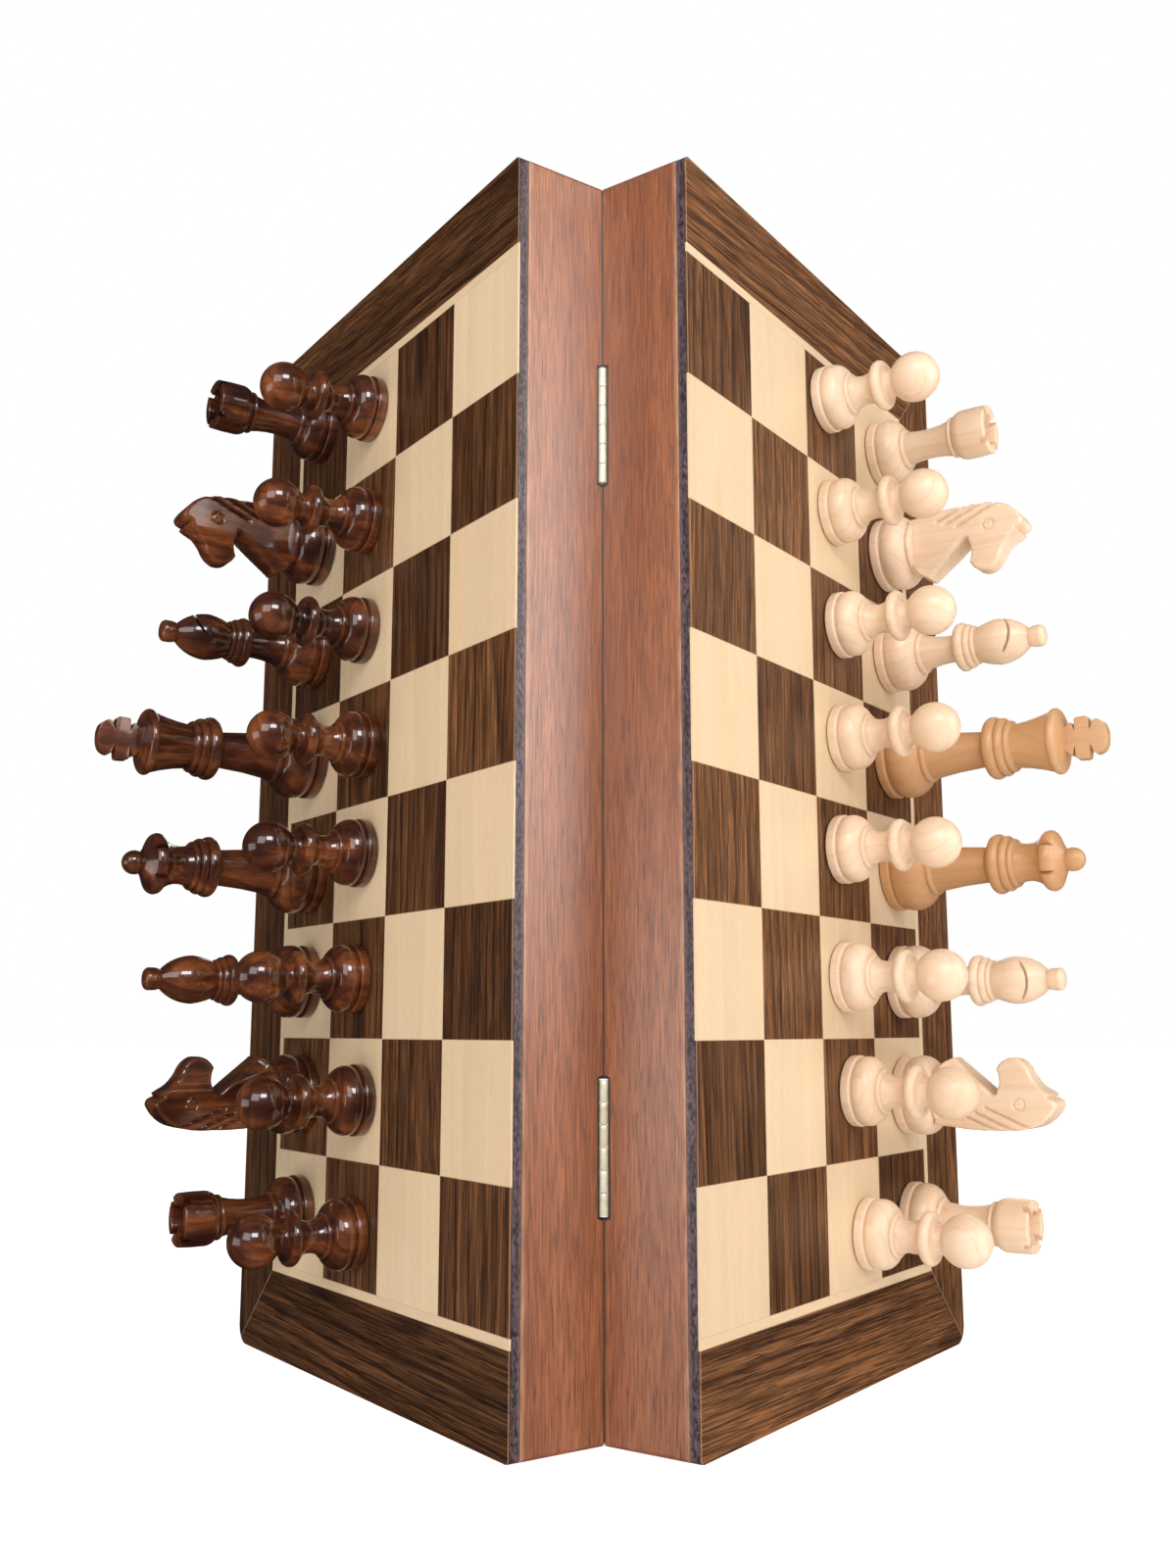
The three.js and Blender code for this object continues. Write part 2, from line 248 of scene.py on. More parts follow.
def lathe(profile, sides=SIDES):
    """Turned solid from a profile of (radius, height) that starts and ends on the axis."""
    points = [(0.0, 0.0, profile[0][1])]
    for radius, height in profile[1:-1]:
        for side in range(sides):
            angle = 2 * math.pi * side / sides
            points.append((radius * math.cos(angle), radius * math.sin(angle), height))
    points.append((0.0, 0.0, profile[-1][1]))
    rings = len(profile) - 2
    faces = []
    for side in range(sides):
        following = (side + 1) % sides
        faces.append([0, 1 + following, 1 + side])
        for ring in range(rings - 1):
            low, high = 1 + ring * sides, 1 + (ring + 1) * sides
            faces.append([low + side, low + following, high + following, high + side])
        top = 1 + (rings - 1) * sides
        faces.append([top + side, top + following, len(points) - 1])
    return points, faces


def boxed(x, y, z):
    """Block between two values on each axis."""
    corners = [(a, b, c) for a in x for b in y for c in z]
    faces = [[0, 1, 3, 2], [4, 6, 7, 5], [0, 4, 5, 1], [2, 3, 7, 6], [0, 2, 6, 4], [1, 5, 7, 3]]
    return corners, faces


def combined(mesh, tool, operation):
    """The first mesh after a boolean with the second; both are used up."""
    target = bpy.data.objects.new("target", mesh)
    other = bpy.data.objects.new("tool", tool)
    for each in (target, other):
        bpy.context.scene.collection.objects.link(each)
    step = target.modifiers.new("combine", "BOOLEAN")
    step.operation = operation
    step.solver = "MANIFOLD"
    step.object = other
    shown = target.evaluated_get(bpy.context.evaluated_depsgraph_get())
    result = bpy.data.meshes.new_from_object(shown)
    for each in (target, other):
        bpy.data.objects.remove(each)
    for each in (mesh, tool):
        bpy.data.meshes.remove(each)
    return result


def cut(mesh, shape, matrix=None):
    """The mesh less a shape, which a matrix may move first."""
    tool = formed(shape)
    if matrix:
        tool.transform(matrix)
    return combined(mesh, tool, "DIFFERENCE")


def cylinder(radius, low, high, place, sides=48, ease=0.0):
    """Round prism about the origin of its outline's plane."""
    ring = [(radius * math.cos(2 * math.pi * side / sides),
             radius * math.sin(2 * math.pi * side / sides)) for side in range(sides)]
    return prism(ring, low, high, place, ease, ease, 2)


# Wood grain ----------------------------------------
def askew(order, tilt):
    """Matrix that lays x along the fibres, nearly; order lists the axes that go to x, y and z."""
    swap = Matrix([[1.0 if order[row] == column else 0.0 for column in range(3)]
                   for row in range(3)]).to_4x4()
    turn = Matrix.Rotation(math.radians(RANDOM.uniform(-tilt, tilt)), 4, "Y")
    swing = Matrix.Rotation(math.radians(RANDOM.uniform(-tilt, tilt)), 4, "Z")
    return turn @ swing @ swap


def grain_run(along, tilt=3.0, pith=(30.0, 60.0)):
    """A random run of wood as a matrix from local millimetres to grain space.

    In grain space x lies along the fibres and the rings are round x, so pith is how far the
    heart of the tree lies from the piece.
    """
    fibres = askew({"x": (0, 1, 2), "y": (1, 0, 2), "z": (2, 0, 1)}[along], tilt)
    spin = Matrix.Rotation(RANDOM.uniform(0, 2 * math.pi), 4, "X")
    away = RANDOM.uniform(*pith)
    return Matrix.Translation((RANDOM.uniform(0, RUN_LENGTH), away, 0)) @ spin @ fibres


def veneer_run(along, centre):
    """A run of flat-cut veneer: the heart lies under the leaf, so that its figure arches."""
    fibres = askew({"x": (0, 2, 1), "z": (2, 0, 1)}[along], 2.0)
    shift = Matrix.Translation((RANDOM.uniform(0, RUN_LENGTH), RANDOM.uniform(-30.0, 30.0),
                                RANDOM.uniform(8.0, 26.0)))
    return shift @ fibres @ Matrix.Translation(-Vector(centre))


def mark(mesh, run, tone):
    """Stores each point's place in its run of wood, and the run's tone, for the materials."""
    points = np.zeros(len(mesh.vertices) * 3, np.float32)
    mesh.vertices.foreach_get("co", points)
    turned = np.array(run.to_3x3()) @ points.reshape(-1, 3).T
    placed = turned.T + np.array(run.translation)
    grain = mesh.attributes.new("grain", "FLOAT_VECTOR", "POINT")
    grain.data.foreach_set("vector", placed.astype(np.float32).ravel())
    shade = mesh.attributes.new("tone", "FLOAT", "POINT")
    shade.data.foreach_set("value", np.full(len(mesh.vertices), tone, np.float32))


def joined(meshes, name):
    """One mesh from several, with their attributes; they are used up."""
    work = bmesh.new()
    for mesh in meshes:
        work.from_mesh(mesh)
    made = bpy.data.meshes.new(name)
    work.to_mesh(made)
    work.free()
    for mesh in meshes:
        bpy.data.meshes.remove(mesh)
    return made


# Nodes ----------------------------------------
def rgba(color):
    """A colour with full alpha, from three values or one grey."""
    return (*color, 1.0) if isinstance(color, tuple) else (color, color, color, 1.0)


class Shader:
    """The nodes of a material or a world, with short calls for what the finishes use."""

    def __init__(self, owner):
        owner.use_nodes = True
        self.owner = owner
        self.nodes, self.links = owner.node_tree.nodes, owner.node_tree.links
        self.nodes.clear()
        self.figure = None

    def node(self, kind, inputs, **settings):
        made = self.nodes.new("ShaderNode" + kind)
        for key, value in settings.items():
            setattr(made, key, value)
        for socket, value in inputs.items():
            if isinstance(value, bpy.types.NodeSocket):
                self.links.new(value, made.inputs[socket])
            else:
                made.inputs[socket].default_value = value
        return made

    def attribute(self, name, output):
        return self.node("Attribute", {}, attribute_name=name).outputs[output]

    @cached_property
    def place(self):
        """A point's place in its run of wood, millimetres."""
        return self.attribute("grain", "Vector")

    @cached_property
    def tone(self):
        return self.attribute("tone", "Fac")

    @cached_property
    def wear(self):
        """How exposed a point is: above 0 on ridges, below 0 in grooves; on the chess pieces it
        carries painted shade and highlight as well as wear.
        """
        return self.attribute("wear", "Fac")

    def stretch(self, vector, factors):
        return self.node("VectorMath", {0: vector, 1: factors}, operation="MULTIPLY").outputs[0]

    def shift(self, vector, other):
        return self.node("VectorMath", {0: vector, 1: other}, operation="ADD").outputs[0]

    def math(self, operation, a, b=0.0):
        return self.node("Math", {0: a, 1: b}, operation=operation).outputs[0]

    def times(self, a, b):
        return self.math("MULTIPLY", a, b)

    def span(self, value, low, high, to_low=0.0, to_high=1.0, **settings):
        inputs = {"Value": value, "From Min": low, "From Max": high, "To Min": to_low,
                  "To Max": to_high}
        return self.node("MapRange", inputs, **settings).outputs[0]

    def noise(self, scales, detail, roughness=0.5, output="Fac"):
        """Noise over the run of wood, scaled by a factor on each axis."""
        inputs = {"Vector": self.stretch(self.place, scales), "Scale": 1.0, "Detail": detail,
                  "Roughness": roughness}
        return self.node("TexNoise", inputs).outputs[output]

    def streaks(self, along, across, detail=3.0):
        """Noise drawn out along the fibres."""
        return self.noise((along, across, across), detail, 0.6)

    def pores(self, along, across, low, high):
        """Short open pores as a mask from 0 to 1."""
        return self.span(self.streaks(along, across, 1.0), low, high)

    def rings(self, spacing, wobble):
        """How far through its year ring each point lies, from 0 to 1, and that ring's shade."""
        drift = self.noise((0.006, 0.05, 0.05), 3.0, output="Color")
        offset = self.stretch(self.shift(drift, (-0.5, -0.5, -0.5)), (0.0, wobble, wobble))
        across = self.stretch(self.shift(self.place, offset), (0.0, 1.0, 1.0))
        radius = self.node("VectorMath", {0: across}, operation="LENGTH").outputs["Value"]
        years = self.math("DIVIDE", radius, spacing)
        year = self.node("TexWhiteNoise", {"W": self.math("FLOOR", years)},
                         noise_dimensions="1D").outputs["Value"]
        return self.math("FRACT", years), year

    def ramp(self, factor, stops):
        made = self.node("ValToRGB", {"Fac": factor})
        elements = made.color_ramp.elements
        while len(elements) < len(stops):
            elements.new(1.0)
        for element, (position, color) in zip(elements, stops):
            element.position = position
            element.color = rgba(color)
        return made.outputs["Color"]

    def mix(self, share, other, blend="MIX"):
        """Blends another colour into the figure."""
        inputs = {0: share, 6: self.figure, 7: other}
        self.figure = self.node("Mix", inputs, data_type="RGBA", blend_type=blend).outputs[2]

    def paint(self, factor, stops):
        """Starts the figure with a ramp."""
        self.figure = self.ramp(factor, stops)

    def tint(self, share, factor, stops):
        """Multiplies the figure by a ramp, to a share."""
        self.mix(share, self.ramp(factor, stops), "MULTIPLY")

    def cover(self, mask, share, color):
        """Lays a colour over the figure where the mask is, to a share."""
        self.mix(self.times(mask, share), rgba(color))

    def surface(self, roughness, **inputs):
        """Ends in a Principled shader; a keyword's underscores stand for spaces."""
        named = {key.replace("_", " "): value for key, value in inputs.items()}
        named |= {"Base Color": self.figure, "Roughness": roughness}
        shader = self.node("BsdfPrincipled", named)
        self.node("OutputMaterial", {"Surface": shader.outputs[0]})
        return self.owner

    def finish(self, roughness, height, depth, **inputs):
        """Ends in a surface with fine relief, depth metres deep."""
        bump = self.node("Bump", {"Height": height, "Distance": depth, "Strength": 1.0})
        return self.surface(roughness, Normal=bump.outputs[0], **inputs)


def new_material(name):
    return Shader(bpy.data.materials.new(name))


# Finishes ----------------------------------------
def walnut():
    """Brown walnut veneer: faint cathedral figure under fine dark pore lines."""
    shader = new_material("walnut_veneer")
    within, year = shader.rings(4.2, 9.0)
    shader.paint(within, [(0.0, (0.125, 0.053, 0.0205)), (0.6, (0.1, 0.041, 0.0155)),
                          (0.9, (0.05, 0.019, 0.0075)), (1.0, (0.12, 0.051, 0.02))])
    shader.tint(1.0, year, [(0.0, 0.86), (1.0, 1.1)])
    bands = shader.streaks(0.008, 0.16)
    shader.tint(0.8, bands, [(0.25, (0.78, 0.75, 0.72)), (0.75, (1.22, 1.24, 1.26))])
    fibres = shader.streaks(0.025, 1.9)
    shader.tint(0.95, fibres, [(0.38, 0.36), (0.5, 0.84), (0.62, 1.6)])
    pores = shader.pores(0.07, 2.3, 0.58, 0.66)
    shader.cover(pores, 0.8, (0.018, 0.0075, 0.004))
    shader.tint(1.0, shader.tone, [(0.0, (0.7, 0.64, 0.54)), (1.0, (1.42, 1.38, 1.2))])
    # Lighter along each leaf's eased top edge, drawing a thin light line at the veneer's corners
    shader.cover(shader.wear, 0.6, (0.42, 0.28, 0.17))
    height = shader.math("SUBTRACT", shader.times(fibres, 0.35), pores)
    return shader.finish(shader.span(bands, 0.2, 0.8, 0.34, 0.46), height, 0.00005,
                         Specular_IOR_Level=0.27)


def maple():
    """Pale maple veneer: almost plain, with faint bands and short flecks."""
    shader = new_material("maple_veneer")
    within, year = shader.rings(6.5, 12.0)
    shader.paint(within, [(0.0, (0.655, 0.5, 0.325)), (0.8, (0.64, 0.484, 0.306)),
                          (0.95, (0.66, 0.48, 0.292)), (1.0, (0.695, 0.52, 0.333))])
    shader.tint(1.0, year, [(0.0, 0.975), (1.0, 1.015)])
    bands = shader.streaks(0.012, 0.2)
    shader.tint(0.8, bands, [(0.25, (0.965, 0.95, 0.93)), (0.75, (1.02, 1.025, 1.03))])
    flecks = shader.streaks(0.22, 2.0, 2.0)
    shader.tint(0.7, flecks, [(0.3, (0.93, 0.905, 0.87)), (0.6, 1.0), (0.8, 1.03)])
    shader.tint(1.0, shader.tone, [(0.0, (0.94, 0.915, 0.885)), (1.0, (0.99, 0.985, 0.98))])
    # Lighter along each leaf's eased top edge
    shader.cover(shader.wear, 0.3, (0.5, 0.34, 0.19))
    return shader.finish(shader.span(bands, 0.2, 0.8, 0.36, 0.46), flecks, 0.00002,
                         Specular_IOR_Level=0.4)


def box_wood():
    """Straight-grained red-brown wood with fine open pores, under a satin varnish."""
    shader = new_material("box_wood")
    ribbon = shader.streaks(0.004, 0.09, 2.0)
    shader.paint(ribbon, [(0.25, (0.215, 0.057, 0.014)), (0.5, (0.26, 0.074, 0.02)),
                          (0.75, (0.31, 0.098, 0.03))])
    fibres = shader.streaks(0.07, 2.0)
    shader.tint(0.85, fibres, [(0.34, (0.58, 0.52, 0.46)), (0.5, 0.97),
                               (0.66, (1.42, 1.48, 1.57))])
    pores = shader.pores(0.13, 2.2, 0.6, 0.69)
    shader.cover(pores, 0.55, (0.07, 0.02, 0.008))
    shader.tint(1.0, shader.tone, [(0.0, 0.85), (1.0, (1.15, 1.25, 1.35))])
    patches = shader.noise((0.12, 0.35, 0.35), 3.0)
    shader.cover(shader.wear, shader.span(patches, 0.35, 0.7, 0.15, 0.7), (0.55, 0.28, 0.14))
    # Painted shade: near black along the fold where the halves meet, wider beside the hinge
    # barrels
    shader.mix(fold_shade_mask(shader), rgba((0.008, 0.003, 0.002)))
    height = shader.math("SUBTRACT", shader.times(fibres, 0.5), pores)
    return shader.finish(shader.span(fibres, 0.3, 0.7, 0.42, 0.37), height, 0.00007,
                         Specular_IOR_Level=0.5, Coat_Weight=1.0, Coat_Roughness=0.36,
                         Coat_IOR=1.75)


def fold_shade_mask(shader):
    """Mask of the painted shade along the fold, wider beside the hinge barrels."""
    near, rise, _ = shader.node(
        "SeparateXYZ", {"Vector": shader.attribute("fold", "Vector")}).outputs
    from_hinge = shader.math("SUBTRACT", shader.math("ABSOLUTE", rise), HINGE_RISE)
    reach = shader.span(shader.math("ABSOLUTE", from_hinge), HINGE_REACH, HINGE_REACH - 0.6,
                        FOLD_SHADOW, BARREL_SHADOW)
    return shader.span(shader.math("ADD", near, reach), FOLD_REACH - 0.1, FOLD_REACH + 0.1,
                       0.0, 0.97)


def edge_stain():
    """Dark brown-violet stain on the panel's edge, thin at the corners."""
    shader = new_material("edge_stain")
    cloud = shader.noise((0.05, 0.5, 0.5), 4.0)
    shader.paint(cloud, [(0.3, (0.026, 0.014, 0.017)), (0.7, (0.056, 0.034, 0.038))])
    speck = shader.noise((0.6, 1.2, 1.2), 3.0, 0.7)
    shader.tint(0.9, speck, [(0.4, 0.2), (0.6, 2.6)])
    shader.cover(shader.wear, 0.25, (0.3, 0.2, 0.15))
    return shader.finish(shader.span(speck, 0.3, 0.7, 0.5, 0.34), speck, 0.00006,
                         Coat_Weight=0.45, Coat_Roughness=0.4, Coat_IOR=1.45)


def dark_lacquer():
    """Deep red-brown stain on close-grained wood, under a clear gloss lacquer."""
    shader = new_material("dark_stained_wood")
    within, _ = shader.rings(3.4, 4.0)
    shader.paint(within, [(0.0, (0.088, 0.02, 0.0052)), (0.6, (0.074, 0.0165, 0.0045)),
                          (0.92, (0.05, 0.011, 0.0035)), (1.0, (0.083, 0.019, 0.005))])
    clouds = shader.noise((0.04, 0.12, 0.12), 3.0)
    shader.tint(0.85, clouds, [(0.34, (0.22, 0.16, 0.25)), (0.5, 0.8), (0.66, (2.5, 2.9, 2.3))])
    fibres = shader.streaks(0.3, 2.4)
    shader.tint(0.55, fibres, [(0.32, (0.5, 0.45, 0.45)), (0.7, (1.35, 1.4, 1.35))])
    shader.cover(shader.pores(0.3, 2.8, 0.62, 0.7), 0.6, (0.018, 0.005, 0.003))
    shader.tint(1.0, shader.tone, [(0.0, (0.4, 0.34, 0.4)), (1.0, (1.3, 1.35, 1.25))])
    # Lighter on ridges: partly stain worn through, partly painted highlight
    shader.cover(shader.span(shader.wear, 0.05, 1.0), 0.5, (0.2, 0.058, 0.015))
    # Near black in grooves: partly stain pooled there, partly painted shade
    shader.cover(shader.span(shader.wear, -0.05, -1.0), 0.9, (0.012, 0.004, 0.003))
    orange_peel = shader.noise((0.5, 0.5, 0.5), 2.0)
    height = shader.math("ADD", shader.times(fibres, 0.4), orange_peel)
    return shader.finish(shader.span(clouds, 0.3, 0.7, 0.3, 0.42), height, 0.00003,
                         Specular_IOR_Level=0.2, Coat_Weight=1.0, Coat_Roughness=0.09,
                         Coat_IOR=1.65)


def light_wood():
    """Pale close-grained wood under a thin satin lacquer."""
    shader = new_material("light_wood")
    within, _ = shader.rings(3.6, 5.0)
    shader.paint(within, [(0.0, (0.775, 0.585, 0.415)), (0.7, (0.765, 0.57, 0.398)),
                          (0.93, (0.735, 0.53, 0.355)), (1.0, (0.77, 0.578, 0.405))])
    fibres = shader.streaks(0.1, 2.0)
    shader.tint(0.7, fibres, [(0.3, (0.945, 0.92, 0.88)), (0.7, (1.03, 1.04, 1.05))])
    clouds = shader.noise((0.03, 0.09, 0.09), 3.0)
    shader.tint(0.8, clouds, [(0.3, (0.95, 0.91, 0.86)), (0.7, (1.03, 1.05, 1.07))])
    shader.tint(1.0, shader.tone, [(0.0, (0.66, 0.46, 0.27)), (0.3, (0.94, 0.91, 0.86)),
                                   (1.0, (1.02, 1.03, 1.05))])
    # Darker in grooves: partly finish pooled there, partly painted shade
    shader.cover(shader.span(shader.wear, -0.05, -1.0), 0.5, (0.42, 0.24, 0.11))
    # Lighter on ridges: partly worn, partly painted highlight
    shader.cover(shader.span(shader.wear, 0.1, 1.0), 0.25, (0.84, 0.67, 0.48))
    return shader.finish(shader.span(clouds, 0.3, 0.7, 0.38, 0.5), fibres, 0.00003,
                         Coat_Weight=0.3, Coat_Roughness=0.28)


def felt(name, dark, light, scale):
    """Pressed felt: a mat of short fibres with a soft sheen."""
    shader = new_material(name)
    mat = shader.noise((scale, scale * 0.7, scale), 5.0, 0.7)
    shader.paint(mat, [(0.3, dark), (0.7, light)])
    shader.tint(0.8, shader.noise((0.05, 0.05, 0.05), 3.0), [(0.3, 0.82), (0.7, 1.18)])
    shader.cover(shader.pores(0.9, 3.5, 0.7, 0.74), 0.35, 0.3)
    return shader.finish(shader.span(mat, 0.3, 0.7, 0.85, 1.0), mat, 0.0003,
                         Sheen_Weight=0.4, Sheen_Roughness=0.5)


def metal(name, low, high, roughness, brushing, metallic=1.0):
    """Metal with fine marks drawn along one way, and slight tarnish."""
    shader = new_material(name)
    marks = shader.noise(brushing, 3.0)
    tarnish = shader.noise((0.25, 0.25, 0.25), 4.0)
    shader.paint(tarnish, [(0.3, low), (0.65, high)])
    shader.tint(0.8, marks, [(0.3, 0.9), (0.7, 1.06)])
    shader.cover(shader.wear, 0.5, tuple(min(1.0, value * 1.15) for value in high))
    rough = shader.math("ADD", shader.span(tarnish, 0.3, 0.7, roughness, roughness + 0.12),
                        shader.times(marks, 0.08))
    return shader.finish(rough, marks, 0.00001, Metallic=metallic)


FINISHES = {
    "walnut": (walnut(), "board_veneer"),
    "maple": (maple(), "board_veneer"),
    "edge": (edge_stain(), "board_veneer"),
    "box": (box_wood(), "box_wood"),
    "dark": (dark_lacquer(), "dark_stained_wood"),
    "light": (light_wood(), "light_wood"),
    "lining": (felt("green_felt", (0.012, 0.05, 0.026), (0.03, 0.11, 0.06), 2.2), "green_felt"),
    "pad": (felt("pad_felt", (0.012, 0.04, 0.022), (0.03, 0.09, 0.05), 3.0), "green_felt"),
    "steel": (metal("steel_sheet", (0.42, 0.43, 0.44), (0.56, 0.57, 0.58), 0.32,
                    (0.05, 4.0, 4.0)), "steel_sheet"),
    "brass": (metal("hinge_brass", (0.85, 0.74, 0.5), (0.97, 0.91, 0.7), 0.4,
                    (3.0, 0.3, 3.0), 0.6), "hinge_brass"),
    "nickel": (metal("magnet_nickel", (0.55, 0.55, 0.54), (0.74, 0.73, 0.7), 0.18,
                     (2.0, 2.0, 2.0)), "magnet_nickel"),
}


# Setting pieces into the frame ----------------------------------------
def piece(name, mesh, matrix, finish, body, replaces=(), smooth=None):
    """A finished piece of the object: its mesh in local millimetres goes to metres in place."""
    material, slot = FINISHES[finish]
    mesh.transform(matrix)
    outward(mesh)
    mesh.materials.clear()
    mesh.materials.append(material)
    if smooth is not None:
        mesh.shade_smooth()
        mesh.set_sharp_from_angle(angle=math.radians(smooth))
    mesh.name = name
    made = bpy.data.objects.new(name, mesh)
    bpy.context.scene.collection.objects.link(made)
    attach(made, body)
    if replaces:
        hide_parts(*replaces)
    return made


def placed(axes, origin):
    """Matrix from local millimetres along three axes to metres."""
    matrix = Matrix.Identity(4)
    for column, axis in enumerate(axes):
        for row in range(3):
            matrix[row][column] = axis[row] * MM
    matrix.translation = origin
    return matrix


class Half:
    """One half of the board: its frame, and where its CAD nodes lie in it, in millimetres."""

    def __init__(self, name, army):
        self.name, self.army, self.body = name, army, f"{name}_half"
        self.out = Vector(JOINTS[f"lift_{army}_king"]["axis"])
        self.away = Vector((self.out.y, -self.out.x, 0))
        if self.away.y < 0:
            self.away.negate()
        self.matrix = placed((self.away, self.out, (0, 0, 1)), JOINTS["fold"]["pos_m"])
        self.inverse = self.matrix.inverted()

    def span(self, node):
        """A node's (low, high) on each axis of this half."""
        places = [self.inverse @ vertex.co for vertex in NODES[node].data.vertices]
        return [(min(place[axis] for place in places), max(place[axis] for place in places))
                for axis in range(3)]

    def add(self, name, mesh, finish, replaces=(), smooth=None):
        """A piece that rides on this half, named after it."""
        return piece(f"{self.name}_{name}", mesh, self.matrix, finish, self.body, replaces,
                     smooth)


HALVES = [Half("left", "dark"), Half("right", "light")]


def on_face(a, b, level):
    """Outline across the face (x, z), built up along the way out (y)."""
    return (a, level, b)


def along_x(a, b, level):
    return (level, a, b)


def upright(a, b, level):
    return (a, b, level)


# Board ----------------------------------------
LINING_GRID = (96, 200)
LINING_DIP = 0.2
LINING_CURL = 0.35


def rectangle(a, b, near_corner, far_corner):
    """Outline between two values on each axis, with rounded corners at low and high a."""
    return rounded([(a[0], b[0], near_corner), (a[1], b[0], far_corner),
                    (a[1], b[1], far_corner), (a[0], b[1], near_corner)])


def playing_panel(half):
    """Edge-stained core of the panel, under its veneers."""
    node = f"{half.name}_playing_panel"
    x, y, z = half.span(node)
    outline = rectangle(x, z, FOLD_CORNER, FAR_CORNER)
    mesh = formed(prism(outline, y[0] - TUCK, y[1] - VENEER, on_face, ease_low=HIDDEN_EASE))
    mark(mesh, grain_run("z"), 0.5)
    half.add("panel_core", mesh, "edge", [node])
    return x, (y[1] - VENEER, y[1]), z


def veneers(half):
    """Squares, stringing line and mitred border, each leaf of veneer with its own grain."""
    x, y, z = playing_panel(half)
    start = x[0]
    top = (z[0] + z[1]) / 2 + 4 * SQUARE
    leaves = {"walnut": [], "maple": []}

    def leaf(wood, outline, along):
        mesh = formed(prism(outline, *y, on_face, ease_high=SEAM_EASE, ease_steps=2))
        middle = [sum(corner[axis] for corner in outline) / len(outline) for axis in (0, 1)]
        centre = (middle[0], y[1], middle[1])
        # Walnut tone shifted per half: painted shade on the left, painted light on the right
        shade = WALNUT_PAINTED_LIGHT[half.name] if wood == "walnut" else 0.0
        mark(mesh, veneer_run(along, centre), RANDOM.random() + shade)
        leaves[wood].append(mesh)

    for row in range(8):
        for file in range(4):
            x0 = max(start, file * SQUARE)
            x1 = (file + 1) * SQUARE
            z0, z1 = top - (row + 1) * SQUARE, top - row * SQUARE
            dark = (file + row) % 2 == (1 if half.name == "left" else 0)
            corners = [(x0, z0), (x1, z0), (x1, z1), (x0, z1)]
            leaf("walnut" if dark else "maple", corners, "z")
    inner, outer = 4 * SQUARE, 4 * SQUARE + STRINGING
    low, high = top - 8 * SQUARE, top
    for z0, z1 in ((low, low - STRINGING), (high, high + STRINGING)):
        line = [(start, z0), (inner, z0), (outer, z1), (start, z1)]
        leaf("maple", line if z1 > z0 else line[::-1], "x")
    leaf("maple", [(inner, low), (outer, low - STRINGING), (outer, high + STRINGING),
                   (inner, high)], "z")
    border(x, z, outer, (low - STRINGING, high + STRINGING), leaf)
    for wood, meshes in leaves.items():
        half.add(f"{wood}_veneer", joined(meshes, wood), wood)


def border(x, z, outer, inner_z, leaf):
    """Walnut border leaves, mitred at the far corners."""
    far = x[1]
    mitre = FAR_CORNER * (1 - math.sqrt(0.5))
    fold_x = x[0] + FOLD_CORNER
    corner = (far - mitre, z[0] + mitre)
    leaf("walnut", stroke([
        (x[0], inner_z[0]), (x[0], z[0] + FOLD_CORNER), (fold_x, z[0], 90),
        (far - FAR_CORNER, z[0]), (*corner, 45), (outer, inner_z[0])]), "x")
    corner = (far - mitre, z[1] - mitre)
    leaf("walnut", stroke([
        (x[0], inner_z[1]), (outer, inner_z[1]), corner, (far - FAR_CORNER, z[1], 45),
        (fold_x, z[1]), (x[0], z[1] - FOLD_CORNER, 90)]), "x")
    leaf("walnut", stroke([
        (outer, inner_z[0]), (far - mitre, z[0] + mitre), (far, z[0] + FAR_CORNER, 45),
        (far, z[1] - FAR_CORNER), (*corner, 45), (outer, inner_z[1])]), "z")


def spine_wall(half):
    """Wall beside the fold, with a groove for each hinge barrel and a mortise for each leaf."""
    node = f"{half.name}_spine_wall"
    x, y, z = half.span(node)
    outline = rectangle((FOLD_SEAM, x[1]), z, FOLD_CORNER, WALL_EASE)
    mesh = formed(prism(outline, FOLD_SEAM, y[1] + LAP, on_face, 0.0, HIDDEN_EASE))
    for hinge in HINGES:
        leaf_x, leaf_y, leaf_z = half.span(f"{hinge}_{half.name}_leaf")
        groove_z = (leaf_z[0] - 2 * FIT, leaf_z[1] + 2 * FIT)
        mesh = cut(mesh, cylinder(GROOVE_RADIUS, *groove_z, upright))
        mesh = cut(mesh, boxed((-1, leaf_x[1] + FIT), (-1, leaf_y[1] + LAP),
                               (leaf_z[0] - FIT, leaf_z[1] + FIT)))
    # The left board paler and cooler than the right: partly a different board, partly painted
    # sheen of the light from the right
    mark(mesh, grain_run("z", 1.0), 0.6 if half.name == "left" else 0.35)
    middle = (z[0] + z[1]) / 2
    # How near each point lies to the fold's outer corner, and its height from the middle, for the
    # painted shade along the fold
    fold = mesh.attributes.new("fold", "FLOAT_VECTOR", "POINT")
    for vertex, value in zip(mesh.vertices, fold.data):
        value.vector = (FOLD_REACH - vertex.co.x - vertex.co.y, vertex.co.z - middle, 0.0)
    half.add("spine_board", mesh, "box", [node])


